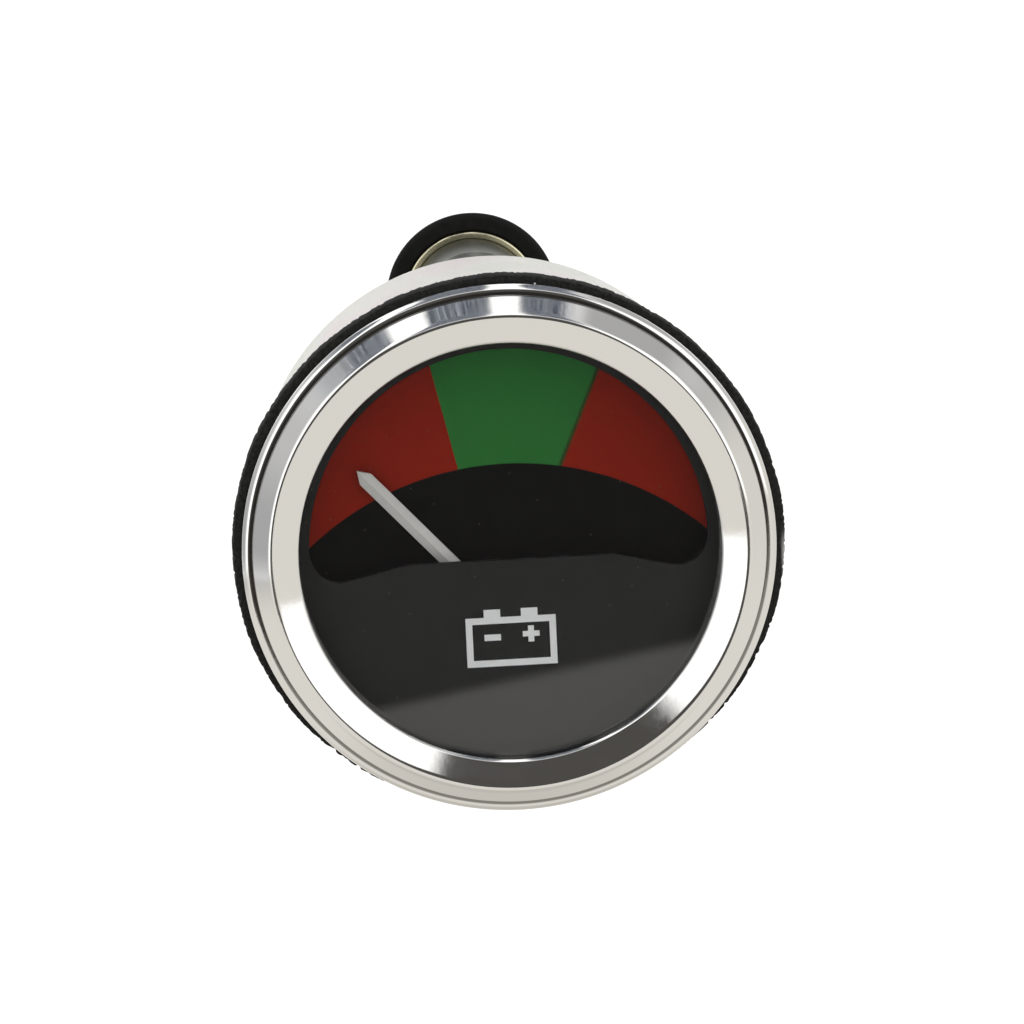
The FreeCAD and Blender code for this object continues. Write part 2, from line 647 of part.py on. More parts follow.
def make_bimetal():
    """Hairpin of bimetal, the heater wound on its free leg and the adjuster that holds its fixed leg."""
    free, fixed = strip_levels()
    half = d.strip_sheet / 2.0
    outer = d.strip_bend + half
    inner = d.strip_bend - half
    middle = free - d.strip_bend
    bend_x = -d.strip_bend_x
    body = new_body("bimetal_strip")
    press_plate(body, [[
        (-d.strip_tip, free - half),
        (-d.strip_tip, free + half),
        (bend_x, free + half, (bend_x - outer * EIGHTH, middle + outer * EIGHTH), outer),
        (bend_x - outer, middle, (bend_x - outer * EIGHTH, middle - outer * EIGHTH), outer),
        (bend_x, fixed - half),
        (d.strip_foot, fixed - half),
        (d.strip_foot, fixed + half),
        (bend_x, fixed + half, (bend_x - inner * EIGHTH, middle - inner * EIGHTH), inner),
        (bend_x - inner, middle, (bend_x - inner * EIGHTH, middle + inner * EIGHTH), inner),
        (bend_x, free - half),
    ]], d.strip_front, d.strip_front + d.strip_width)

    winding = new_body("heater_winding", ZERO, free)
    start = -d.winding_start
    hollow = half + d.fit_gap
    shell = hollow + d.winding_thickness
    front = d.strip_front - d.fit_gap
    back = d.strip_front + d.strip_width + d.fit_gap
    box = rectangle(start, start + d.winding_length, -shell, shell)
    press_plate(winding, [box], front - d.winding_thickness, back + d.winding_thickness)
    sketch = new_sketch(winding, "YZ_Plane", [rectangle(front, back, -hollow, hollow)], start - d.cut_over)
    slot = winding.newObject("PartDesign::Pocket", "winding_slot")
    slot.Profile = sketch
    slot.Reversed = True
    slot.setExpression("Length", (d.winding_length + d.cut_over * 2.0).text)
    doc.recompute()

    adjuster = new_body("zero_adjuster")
    left = d.adjuster_left
    right = left + d.adjuster_width
    lug_top = fixed - half
    lug_low = lug_top - d.adjuster_sheet
    press_plate(adjuster, [rectangle(left, right, lug_low, lug_low + d.adjuster_height)],
                frame_back, frame_back + d.adjuster_sheet)
    press_plate(adjuster, [rectangle(left, right, lug_low, lug_top)],
                frame_back + d.adjuster_sheet, d.strip_front + d.strip_width)


def make_pointer():
    """Pointer with a roof-shaped blade and a bored hub, its staff, and the crank that drives it."""
    rest = -d.rest_angle.value
    hub_back = d.hub_front + d.hub_length
    body = new_body("pointer", ZERO, pivot_up, rest)
    press_plate(body, [circle(d.hub_radius), circle(d.staff_radius)], d.hub_front, hub_back)
    root_up = d.hub_radius - d.blade_overlap
    half = d.pointer_width / 2.0
    side = d.blade_back - d.blade_edge
    section = [
        (half, d.blade_back), (half, side), (ZERO, d.ridge_depth),
        (-half, side), (-half, d.blade_back),
    ]
    sketch = new_sketch(body, "XY_Plane", [section], root_up)
    blade = body.newObject("PartDesign::Pad", "pointer_blade")
    blade.Profile = sketch
    blade.setExpression("Length", (d.pointer_reach - root_up).text)
    doc.recompute()
    shoulder = d.pointer_reach - d.pointer_point
    beyond = d.pointer_reach + d.cut_over
    tips = []
    for hand in (-1.0, 1.0):
        tips.append([(half * hand, shoulder), (ZERO, d.pointer_reach), (ZERO, beyond),
                     ((half + d.cut_over) * hand, beyond), ((half + d.cut_over) * hand, shoulder)])
    for tip in tips:
        cut_through(body, [tip], d.ridge_depth - d.cut_over, d.blade_back + d.cut_over)

    staff = new_body("pointer_staff", ZERO, pivot_up)
    turn_profile(staff, [(ZERO, d.hub_front), (d.staff_radius, d.hub_front),
                         (d.staff_radius, d.staff_end), (ZERO, d.staff_end)])

    crank = new_body("crank_arm", ZERO, pivot_up, -d.crank_angle.value)
    big = d.staff_radius + d.crank_edge
    small = d.crank_pin + d.crank_edge
    crank_back = d.crank_depth + d.crank_sheet
    press_plate(crank, [[
        (-big, ZERO, (-big * EIGHTH, -big * EIGHTH), big),
        (ZERO, -big, (big * EIGHTH, -big * EIGHTH), big),
        (big, ZERO),
        (small, d.crank_reach, (small * EIGHTH, d.crank_reach + small * EIGHTH), small),
        (ZERO, d.crank_reach + small, (-small * EIGHTH, d.crank_reach + small * EIGHTH), small),
        (-small, d.crank_reach),
    ], circle(d.staff_radius)], d.crank_depth, crank_back)
    press_plate(crank, [circle(d.crank_pin, ZERO, d.crank_reach)], crank_back,
                d.strip_front + d.strip_width)


def make_terminals():
    """Two blade terminals in flanged insulators."""
    bushes = []
    for name, side in (("positive", 1.0), ("negative", -1.0)):
        place = (d.terminal_x * side, -d.terminal_drop)
        bush = new_body(f"bush_{name}", *place)
        flange_end = d.can_rear + d.bush_flange_height
        inside = rear_wall - d.bush_inside
        turn_profile(bush, [
            (ZERO, inside), (d.bush_radius, inside), (d.bush_radius, d.can_rear),
            (d.bush_flange, d.can_rear), (d.bush_flange, flange_end), (ZERO, flange_end),
        ])
        slot_half = d.blade_width / 2.0 + d.fit_gap
        slot_up = d.blade_sheet / 2.0 + d.fit_gap
        cut_through(bush, [rectangle(-slot_half, slot_half, -slot_up, slot_up)],
                    inside - d.cut_over, flange_end + d.cut_over)
        bushes.append(bush)
        blade = new_body(f"{name}_terminal", *place)
        end = d.blade_inside + d.blade_length
        half = d.blade_width / 2.0
        sketch = new_sketch(blade, "XY_Plane", [[
            (-half, d.blade_inside), (half, d.blade_inside), (half, end - d.blade_taper),
            (half - d.blade_taper, end), (d.blade_taper - half, end), (-half, end - d.blade_taper),
        ]], -d.blade_sheet / 2.0)
        pad = blade.newObject("PartDesign::Pad", f"{name}_blade")
        pad.Profile = sketch
        pad.setExpression("Length", d.blade_sheet.text)
        doc.recompute()
    group("terminal_insulators", bushes)


def make_clamp():
    """Clamp stud, U-shaped bracket, lock washer and grooved thumb nut."""
    stud = new_body("clamp_stud")
    head_front = rear_wall - d.stud_head_height
    turn_profile(stud, [
        (ZERO, head_front), (d.stud_head, head_front), (d.stud_head, rear_wall),
        (d.stud_radius, rear_wall), (d.stud_radius, d.stud_end), (ZERO, d.stud_end),
    ])

    bracket = new_body("mounting_bracket", ZERO, ZERO, -d.bracket_turn.value)
    inner = d.can_radius + d.bracket_gap
    outer = inner + d.bracket_sheet
    bridge_front = d.bracket_rear - d.bracket_sheet
    bend_outer = d.bracket_bend + d.bracket_sheet
    bend_x = inner - d.bracket_bend
    bend_y = bridge_front - d.bracket_bend
    profile = [
        (outer, d.panel_gap),
        (outer, bend_y, (bend_x + bend_outer * EIGHTH, bend_y + bend_outer * EIGHTH), bend_outer),
        (bend_x, d.bracket_rear),
        (-bend_x, d.bracket_rear, (-bend_x - bend_outer * EIGHTH, bend_y + bend_outer * EIGHTH), bend_outer),
        (-outer, bend_y),
        (-outer, d.panel_gap),
        (-inner, d.panel_gap),
        (-inner, bend_y, (-bend_x - d.bracket_bend * EIGHTH, bend_y + d.bracket_bend * EIGHTH),
         d.bracket_bend),
        (-bend_x, bridge_front),
        (bend_x, bridge_front, (bend_x + d.bracket_bend * EIGHTH, bend_y + d.bracket_bend * EIGHTH),
         d.bracket_bend),
        (inner, bend_y),
        (inner, d.panel_gap),
    ]
    sketch = new_sketch(bracket, "XY_Plane", [profile], -d.bracket_width / 2.0)
    pad = bracket.newObject("PartDesign::Pad", "bracket_strip")
    pad.Profile = sketch
    pad.setExpression("Length", d.bracket_width.text)
    doc.recompute()
    cut_through(bracket, [circle(stud_hole)], bridge_front - d.cut_over, d.bracket_rear + d.cut_over)

    washer_back = d.bracket_rear + d.washer_sheet
    ring("lock_washer", stud_hole, d.washer_radius, d.bracket_rear, washer_back)

    nut = new_body("thumb_nut")
    nut_front = washer_back + d.fit_gap
    grip_front = nut_front + d.thumb_collar
    nut_back = nut_front + d.thumb_length
    rim = d.thumb_radius - d.thumb_edge
    turn_profile(nut, [
        (stud_hole, nut_front), (d.thumb_collar_radius, nut_front), (d.thumb_collar_radius, grip_front),
        (rim, grip_front), (d.thumb_radius, grip_front + d.thumb_edge),
        (d.thumb_radius, nut_back - d.thumb_edge), (rim, nut_back), (stud_hole, nut_back),
    ])
    groove = [(ZERO, d.thumb_radius - d.knurl_depth),
              (d.knurl_width / 2.0, d.thumb_radius + d.knurl_depth),
              (-d.knurl_width / 2.0, d.thumb_radius + d.knurl_depth)]
    cut = cut_through(nut, [groove], grip_front - d.cut_over, nut_back + d.cut_over)
    knurl = nut.newObject("PartDesign::PolarPattern", "thumb_knurl")
    knurl.Originals = [cut]
    knurl.Axis = (origin_feature(nut, "Y_Axis"), [""])
    knurl.Angle = 360.0
    knurl.Occurrences = int(d.knurl_count.value)
    knurl.setExpression("Occurrences", d.knurl_count.text)
    nut.Tip = knurl
    doc.recompute()


def make_lamp():
    """Push-in lamp holder: slit sleeve with a collar, rubber boot, contact and bulb."""
    place = (-d.lamp_x, d.lamp_lift)
    bore = d.sleeve_radius - d.sleeve_wall
    sleeve = new_body("lamp_sleeve", *place)
    turn_profile(sleeve, [
        (bore, d.sleeve_front), (d.sleeve_radius, d.sleeve_front), (d.sleeve_radius, collar_front),
        (d.collar_radius, collar_front), (d.collar_radius, collar_back),
        (d.sleeve_radius, collar_back), (d.sleeve_radius, d.sleeve_rear), (bore, d.sleeve_rear),
    ])
    slit = d.slit_width / 2.0
    past = d.sleeve_radius + d.cut_over
    slits = [rectangle(-slit, slit, -past, past)]
    cut_through(sleeve, slits, d.sleeve_front - d.cut_over, d.sleeve_front + d.slit_length)

    boot = new_body("lamp_boot", *place)
    mouth = d.collar_radius + d.fit_gap
    grip = d.sleeve_radius + d.fit_gap
    seat = collar_back + d.fit_gap
    barrel_end = d.boot_front + d.boot_barrel
    cone_end = barrel_end + d.boot_cone
    nipple_end = cone_end + d.boot_nipple_length
    turn_profile(boot, [
        (mouth, d.boot_front), (d.boot_radius, d.boot_front), (d.boot_radius, barrel_end),
        (d.boot_nipple, cone_end), (d.boot_nipple, nipple_end), (d.boot_bore, nipple_end),
        (d.boot_bore, cone_end - d.boot_wall), (grip, barrel_end), (grip, seat), (mouth, seat),
    ])

    cap_radius = bore - d.cap_gap
    cap_back = d.cap_front + d.cap_length
    ring("bulb_base", ZERO, cap_radius, d.cap_front, cap_back, *place)
    glass = new_body("bulb_glass", *place)
    dome = d.cap_front - d.bulb_length + d.bulb_radius
    turn_profile(glass, [
        (ZERO, d.cap_front), (ZERO, dome - d.bulb_radius,
                              (d.bulb_radius * EIGHTH, dome - d.bulb_radius * EIGHTH), d.bulb_radius),
        (d.bulb_radius, dome), (d.bulb_radius, d.cap_front),
    ])

    contact = new_body("lamp_contact", *place)
    button_back = cap_back + d.tip_height
    stem_end = button_back + d.stem_length
    turn_profile(contact, [
        (ZERO, cap_back), (d.tip_radius, cap_back), (d.tip_radius, button_back),
        (d.stem_radius, button_back), (d.stem_radius, stem_end), (ZERO, stem_end),
    ])
    spring_bore = d.stem_radius + d.fit_gap
    ring("contact_spring", spring_bore, spring_bore + d.spring_wire, button_back, d.disc_depth, *place)
    ring("lamp_insulator", spring_bore, bore - d.fit_gap, d.disc_depth, d.disc_depth + d.disc_length, *place)

    terminal = new_body("lamp_terminal", *place)
    half_tab = d.tab_width / 2.0
    half_sheet = d.tab_sheet / 2.0
    press_plate(terminal, [rectangle(-half_tab, half_tab, -half_sheet, half_sheet)],
                stem_end, stem_end + d.tab_length)


make_can()
bezel_inside = bezel_corners()
make_bezel(bezel_inside)
make_lens_seal(bezel_inside)
ring("lens", ZERO, d.glass_radius, lens_front, lens_back)
make_mask_plate()
make_dial()
make_movement_frame()
make_pillars()
make_bimetal()
make_pointer()
make_terminals()
make_clamp()
make_lamp()
ring("panel_gasket", d.can_radius + d.fit_gap, d.gasket_radius, bezel_back, ZERO)
doc.recompute()

for item in doc.Objects:
    if "Invalid" in item.State or "Error" in item.State:
        raise RuntimeError(f"{item.Label} failed: {item.State}")
for piece in pieces:
    if piece.Shape.isNull() or not piece.Shape.isValid():
        raise RuntimeError(f"{piece.Label} has no sound shape")

os.makedirs("parts", exist_ok=True)
for piece in pieces:
    piece.Shape.exportStep(f"parts/{piece.Label}.step")
    print(f"{piece.Label}: {len(piece.Shape.Solids)} solid(s), {piece.Shape.Volume:.2f} cubic mm")
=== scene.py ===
"""Looks of a panel battery gauge: chrome bezel, printed dial, plated can, clamp and push-in lamp.

All sizes are millimetres in the gauge's own frame. The axis runs along Y, the face looks towards -Y and
the plane Y = 0 is the front of the panel. A profile lists each corner's radius from its axis, its depth along
Y and its rounding.
"""
from __future__ import annotations

import logging
import math
import random
from dataclasses import dataclass, field
from enum import Enum
from typing import Callable, Sequence, Union

import bmesh
import bpy
from mathutils import Matrix, Vector


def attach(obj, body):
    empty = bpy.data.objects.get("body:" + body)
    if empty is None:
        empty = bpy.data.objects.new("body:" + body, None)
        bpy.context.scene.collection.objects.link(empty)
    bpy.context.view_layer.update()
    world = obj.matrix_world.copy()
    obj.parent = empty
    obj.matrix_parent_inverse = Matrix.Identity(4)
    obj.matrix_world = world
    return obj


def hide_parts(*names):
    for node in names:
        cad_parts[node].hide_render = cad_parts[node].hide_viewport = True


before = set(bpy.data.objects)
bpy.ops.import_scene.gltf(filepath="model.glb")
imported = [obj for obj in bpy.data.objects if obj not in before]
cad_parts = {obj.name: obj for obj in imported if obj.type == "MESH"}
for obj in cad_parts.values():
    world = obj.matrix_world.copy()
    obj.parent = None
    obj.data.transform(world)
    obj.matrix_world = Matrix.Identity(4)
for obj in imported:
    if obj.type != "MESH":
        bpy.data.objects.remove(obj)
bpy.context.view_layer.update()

MM = 0.001
QUARTER = math.pi / 2
WHITE = (1.0, 1.0, 1.0, 1.0)
LOG = logging.getLogger("battery_gauge")

# Degrees past which an edge is shaded sharp, on turned pieces and on flat plates.
SHARP = 35.0
FLAT_SHARP = 12.0
# Metres within which points count as one, and below which an edge is dropped.
MERGE = 1e-7
DROP = 1e-8
# Place of the point beside a rounding, in shares of its cut: it keeps the flat next to it shaded flat.
GUARD = 1.06
# Most of a side that one rounding may take.
ROUND_SHARE = 0.47
# Part of a noise pattern's range that holds nearly all of it.
NOISE_SPAN = (0.2, 0.8)

Point = tuple[float, float]
Corner = tuple[float, float, float]
Band = tuple[float, float, float, float]
Profile = tuple[Corner, ...]
Pair = tuple[str, str]
Socket = bpy.types.NodeSocket
Tint = Union[Socket, str, tuple]
Material = bpy.types.Material
Piece = bpy.types.Object


class Body(Enum):
    """Rigid bodies that the drawn pieces ride on."""

    GAUGE = "gauge"
    NUT = "thumb_nut"
    LAMP = "lamp_holder"


def linear(code: str) -> tuple[float, float, float, float]:
    """Turn an sRGB hex value into a linear colour.

    Args:
        code: Six hex digits after a hash sign.

    Returns:
        Linear red, green, blue and an alpha of one.
    """
    parts = [int(code[start:start + 2], 16) / 255 for start in (1, 3, 5)]
    red, green, blue = (c / 12.92 if c <= 0.04045 else ((c + 0.055) / 1.055) ** 2.4 for c in parts)
    return red, green, blue, 1.0


def per_mm(size: float) -> float:
    """Scale of a pattern on Object coordinates whose features are `size` millimetres across."""
    return 1.0 / (size * MM)


class NodeTree:
    """A node tree under construction."""

    def __init__(self, tree: bpy.types.NodeTree) -> None:
        """Keep the tree that takes the nodes."""
        self.tree = tree

    def add(self, kind: str, settings: dict | None = None, values: dict | None = None) -> bpy.types.Node:
        """Add a node with its settings and links.

        Args:
            kind: Blender's name for the node's type.
            settings: Properties of the node, by name.
            values: Inputs by name or number: a plain value, a hex colour, or a socket to link from.

        Returns:
            The new node.
        """
        node = self.tree.nodes.new(kind)
        for name, value in (settings or {}).items():
            setattr(node, name, value)
        for key, value in (values or {}).items():
            if isinstance(value, Socket):
                self.tree.links.new(value, node.inputs[key])
            else:
                node.inputs[key].default_value = linear(value) if isinstance(value, str) else value
        return node

    def maths(self, operation: str, *terms: Socket | float) -> Socket:
        """Result of one arithmetic step on sockets or numbers."""
        return self.add("ShaderNodeMath", {"operation": operation}, dict(enumerate(terms))).outputs[0]

    def product(self, first: Socket, *others: Socket) -> Socket:
        """Multiply several shares.

        Args:
            first: The first share.
            others: The shares that multiply it, in turn.

        Returns:
            Their product.
        """
        for other in others:
            first = self.maths("MULTIPLY", first, other)
        return first

    def reach(self, across: Socket, up: Socket) -> Socket:
        """Distance from the middle of a place that lies across and up."""
        square = self.maths("MULTIPLY_ADD", across, across, self.maths("MULTIPLY", up, up))
        return self.maths("SQRT", square)

    def ramp(self, source: Socket, low: float, high: float, first: float = 0.0, last: float = 1.0) -> Socket:
        """Map a range of a socket smoothly to another range."""
        return self.add("ShaderNodeMapRange", {"interpolation_type": "SMOOTHSTEP"}, {
            "Value": source, "From Min": low, "From Max": high, "To Min": first, "To Max": last}).outputs[0]

    def blend(self, share: Socket, first: Tint, second: Tint) -> Socket:
        """Mix two colours by a share from 0 to 1."""
        return self.add("ShaderNodeMix", {"data_type": "RGBA"}, {0: share, 6: first, 7: second}).outputs[2]

    def axes(self, place: Socket) -> Sequence[Socket]:
        """The three parts of a place or a direction."""
        return tuple(self.add("ShaderNodeSeparateXYZ", None, {0: place}).outputs)


class Shader(NodeTree):
    """A material under construction, with its Principled shader and its Object coordinates."""

    def __init__(self, name: str, **sockets: object) -> None:
        """Start a material.

        Args:
            name: Name of the material.
            sockets: Values of the shader's own inputs by name, with _ for a space.
        """
        self.material = bpy.data.materials.new(name)
        self.material.use_nodes = True
        super().__init__(self.material.node_tree)
        self.bsdf = self.tree.nodes["Principled BSDF"]
        for key, value in sockets.items():
            self.bsdf.inputs[key.replace("_", " ")].default_value = value
        self.place = self.add("ShaderNodeTexCoord").outputs["Object"]

    def noise(self, size: float, detail: float = 3.0, stretch: Corner = (1.0, 1.0, 1.0)) -> Socket:
        """Lay noise from 0 to 1 on the object.

        Args:
            size: Size of its features, in millimetres.
            detail: Octaves of finer noise.
            stretch: Scale along each axis.

        Returns:
            The pattern.
        """
        moved = self.add("ShaderNodeMapping", None, {"Vector": self.place, "Scale": stretch}).outputs[0]
        return self.add("ShaderNodeTexNoise", None, {
            "Vector": moved, "Scale": per_mm(size), "Detail": detail}).outputs[0]

    def finish(self, colour: Socket, grain: Socket, rough: Point, relief: Socket, depth: float,
               span: Point = NOISE_SPAN) -> Material:
        """Link colour, roughness and relief to the shader.

        Args:
            colour: Pattern of the base colour.
            grain: Pattern that the roughness follows.
            rough: Roughness at the low and at the high end of the grain.
            relief: Pattern that raises the surface.
            depth: Height of the relief, in millimetres.
            span: Part of the grain's range that counts.

        Returns:
            The finished material.
        """
        raised = self.add("ShaderNodeBump", None, {"Height": relief, "Distance": depth * MM, "Strength": 1.0})
        patterns = {"Base Color": colour, "Roughness": self.ramp(grain, *span, *rough),
                    "Normal": raised.outputs[0]}
        for name, source in patterns.items():
            self.tree.links.new(source, self.bsdf.inputs[name])
        return self.material


@dataclass(frozen=True)
class Dust:
    """Sparse pale grains on a face that looks along Y, spaced and sized in millimetres."""

    spacing: float
    size: float
    colour: str
    core: float = 0.5

    def over(self, shader: Shader, colour: Socket) -> Socket:
        """Lay the dust over a colour.

        Args:
            shader: The material that takes the dust.
            colour: The colour under it.

        Returns:
            The dusty colour.
        """
        flat = shader.add("ShaderNodeMapping", None, {"Vector": shader.place, "Rotation": (QUARTER, 0, 0)})
        cells = shader.add("ShaderNodeTexVoronoi", {"voronoi_dimensions": "2D"}, {
            "Vector": flat.outputs[0], "Scale": per_mm(self.spacing)})
        edge = self.size / self.spacing
        grains = shader.ramp(cells.outputs["Distance"], edge, edge * self.core)
        return shader.blend(grains, colour, self.colour)


@dataclass(frozen=True)
class ChromePlate:
    """Bright chrome on pressed brass: a mirror, faintly uneven, with painted shade darkening the groove."""

    colour: str = "#F2F1EE"
    groove_shade: str = "#8F8D88"
    groove_shade_radius: float = 27.3
    groove_shade_fade: Point = (0.1, 0.3)
    roughness: Point = (0.05, 0.1)
    haze: float = 2.2
    haze_span: Point = (0.3, 0.8)
    dent: float = 0.9
    dent_detail: float = 2.0
    dent_depth: float = 0.002

    def make(self) -> Material:
        """Build the chrome.

        Returns:
            The material.
        """
        shader = Shader("chrome_plate", Metallic=1.0)
        across, _, up = shader.axes(shader.place)
        # Painted shade: a grey ring at the groove's radius, fading to either side, stands in for the shade
        # between flank and bead.
        past = shader.maths("SUBTRACT", shader.reach(across, up), self.groove_shade_radius * MM)
        near, far = (edge * MM for edge in self.groove_shade_fade)
        left = shader.ramp(shader.maths("ABSOLUTE", past), near, far, 1.0, 0.0)
        colour = shader.blend(left, self.colour, self.groove_shade)
        return shader.finish(colour, shader.noise(self.haze), self.roughness,
                             shader.noise(self.dent, self.dent_detail), self.dent_depth, self.haze_span)


@dataclass(frozen=True)
class ZincPlate:
    """Zinc-plated sheet steel: pale, satin, with a faint rainbow of passivation."""

    base: str = "#C8C6C0"
    pink: str = "#C9C1BF"
    pink_span: Point = (0.5, 0.66)
    green: str = "#C3C4BC"
    green_span: Point = (0.34, 0.46)
    tint_size: float = 9.0
    tint_detail: float = 1.0
    roughness: Point = (0.31, 0.44)
    grain: float = 0.35
    depth: float = 0.0015

    def make(self) -> Material:
        """Build the zinc plate.

        Returns:
            The material.
        """
        shader = Shader("zinc_plated_steel", Metallic=1.0)
        tint = shader.noise(self.tint_size, self.tint_detail)
        warm = shader.blend(shader.ramp(tint, *self.pink_span), self.base, self.pink)
        colour = shader.blend(shader.ramp(tint, *self.green_span, 1.0, 0.0), warm, self.green)
        grain = shader.noise(self.grain)
        return shader.finish(colour, grain, self.roughness, grain, self.depth)


@dataclass(frozen=True)
class Metal:
    """A plain worked metal: drawn or rolled, with fine marks along one direction."""

    name: str
    colour: str
    roughness: float
    marks: Corner = (1.0, 0.15, 1.0)
    spread: float = 0.05
    mark_size: float = 0.25
    mark_tone: float = 0.8
    mark_share: float = 0.5
    depth: float = 0.0004

    def make(self) -> Material:
        """Build the metal.

        Returns:
            The material.
        """
        shader = Shader(self.name, Metallic=1.0)
        grain = shader.noise(self.mark_size, stretch=self.marks)
        dull = shader.blend(grain, (self.mark_tone, self.mark_tone, self.mark_tone, 1.0), WHITE)
        colour = shader.add("ShaderNodeMix", {"data_type": "RGBA", "blend_type": "MULTIPLY"}, {
            0: self.mark_share, 6: self.colour, 7: dull}).outputs[2]
        rough = (self.roughness - self.spread, self.roughness + self.spread)
        return shader.finish(colour, grain, rough, grain, self.depth)


@dataclass(frozen=True)
class Rubber:
    """Black rubber: cut sponge sheet is ragged and dusty, with a painted highlight at one side; a moulding is
    smooth.
    """

    name: str
    dark: str
    pale: str
    roughness: float
    grain: float
    depth: float
    dust: Dust | None = None
    spread: float = 0.12
    shine: float = 0.22
    pore_detail: float = 4.0
    pore_span: Point = (0.3, 0.75)
    highlight_grey: str = "#A6A5A2"
    highlight_across: Point = (28.6, 29.1)
    highlight_up: Point = (-9.5, 1.0)
    highlight_fade: float = 4.0
    highlight_grain: float = 1.6
    highlight_span: Point = (0.3, 0.6)
    highlight_least: float = 0.3

    def painted_highlight(self, shader: Shader) -> Socket:
        """Find the painted highlight, a pale grey patch at the right of the outer edge.

        Args:
            shader: The rubber's material.

        Returns:
            Share of the painted highlight.
        """
        across, _, up = shader.axes(shader.place)
        low, high = (edge * MM for edge in self.highlight_up)
        fade = self.highlight_fade * MM
        out = shader.ramp(across, *(edge * MM for edge in self.highlight_across))
        above = shader.ramp(up, low, low + fade)
        below = shader.ramp(up, high - fade, high, 1.0, 0.0)
        broken_highlight = shader.ramp(shader.noise(self.highlight_grain), *self.highlight_span, self.highlight_least)
        return shader.product(above, below, out, broken_highlight)

    def make(self) -> Material:
        """Build the rubber.

        Returns:
            The material.
        """
        shader = Shader(self.name, Specular_IOR_Level=self.shine)
        pores = shader.noise(self.grain, self.pore_detail)
        colour = shader.blend(shader.ramp(pores, *self.pore_span), self.dark, self.pale)
        if self.dust:
            # Painted highlight: pale grey over the right of the outer edge, where the sponge's edge catches
            # the light.
            colour = shader.blend(self.painted_highlight(shader), colour, self.highlight_grey)
            colour = self.dust.over(shader, colour)
        return shader.finish(colour, pores, (self.roughness, self.roughness + self.spread), pores, self.depth)


@dataclass(frozen=True)
class Moulding:
    """Moulded plastic: fine spark-eroded texture, a little dust."""

    name: str
    colour: str
    dusty: str
    roughness: float
    shine: float = 0.5
    spread: float = 0.1
    dust: Dust = Dust(6.4, 0.08, "#63625E")
    shade_size: float = 4.0
    grain: float = 0.12
    depth: float = 0.0004

    def make(self) -> Material:
        """Build the plastic.

        Returns:
            The material.
        """
        shader = Shader(self.name, Specular_IOR_Level=self.shine)
        shade = shader.blend(shader.noise(self.shade_size), self.colour, self.dusty)
        grain = shader.noise(self.grain)
        rough = (self.roughness, self.roughness + self.spread)
        return shader.finish(self.dust.over(shader, shade), grain, rough, grain, self.depth)


@dataclass(frozen=True)
class DialEnamel:
    """Screen-printed enamel: green and red fields over black, parted by an arc and two straight edges."""

    green: str = "#2E7635"
    red: str = "#901F09"
    overlap: str = "#33471F"
    black: str = "#0E0E0E"
    shine: float = 0.04
    arc_drop: float = 23.45
    arc_radius: float = 31.7
    left_edge: tuple[Point, Point] = ((-4.92, 8.1), (-7.24, 18.6))
    right_edge: tuple[Point, Point] = ((6.27, 8.43), (10.32, 17.78))
    print_half: float = 0.05
    overlap_half: float = 0.396
    dust: Dust = Dust(5.6, 0.08, "#5C5C54")
    roughness: Point = (0.42, 0.55)
    grain: float = 0.3
    depth: float = 0.001

    def make(self) -> Material:
        """Build the printed dial.

        Returns:
            The material.
        """
        shader = Shader("dial_enamel", Specular_IOR_Level=self.shine)
        across, _, up = shader.axes(shader.place)
        edge, limit = self.print_half * MM, self.arc_radius * MM
        reach = shader.reach(across, shader.maths("ADD", up, self.arc_drop * MM))
        in_field = shader.ramp(reach, limit - edge, limit + edge)

        def past(line: tuple[Point, Point]) -> Socket:
            """Measure across from a straight edge, to the right.

            Args:
                line: Two points of the edge.

            Returns:
                The distance, in metres.
            """
            (x0, z0), (x1, z1) = line
            slope = (x1 - x0) / (z1 - z0)
            return shader.maths("SUBTRACT", across,
                                shader.maths("MULTIPLY_ADD", up, slope, (x0 - slope * z0) * MM))

        from_right = past(self.right_edge)
        in_green = shader.product(shader.ramp(past(self.left_edge), -edge, edge),
                                  shader.ramp(from_right, -edge, edge, 1.0, 0.0))
        overlap = shader.ramp(shader.maths("ABSOLUTE", from_right), 0.0, self.overlap_half * MM, 1.0, 0.0)
        inked = shader.blend(overlap, shader.blend(in_green, self.red, self.green), self.overlap)
        printed = shader.blend(in_field, self.black, inked)
        grain = shader.noise(self.grain)
        return shader.finish(self.dust.over(shader, printed), grain, self.roughness, grain, self.depth)


@dataclass(frozen=True)
class Enamel:
    """Sprayed satin enamel or screen ink, a little uneven."""

    name: str
    colour: str
    shade: str
    roughness: Point = (0.4, 0.5)
    flow: float = 0.8
    peel: float = 0.2
    depth: float = 0.002

    def make(self) -> Material:
        """Build the enamel.

        Returns:
            The material.
        """
        shader = Shader(self.name)
        flow = shader.noise(self.flow)
        colour = shader.blend(flow, self.shade, self.colour)
        return shader.finish(colour, flow, self.roughness, shader.noise(self.peel), self.depth)


@dataclass(frozen=True)
class ClearGlass:
    """Polished float glass, clear and without colour."""

    ior: float = 1.5

    def make(self) -> Material:
        """Build the glass."""
        return Shader("clear_glass", Roughness=0.0, IOR=self.ior, Transmission_Weight=1.0,
                      Base_Color=WHITE).material


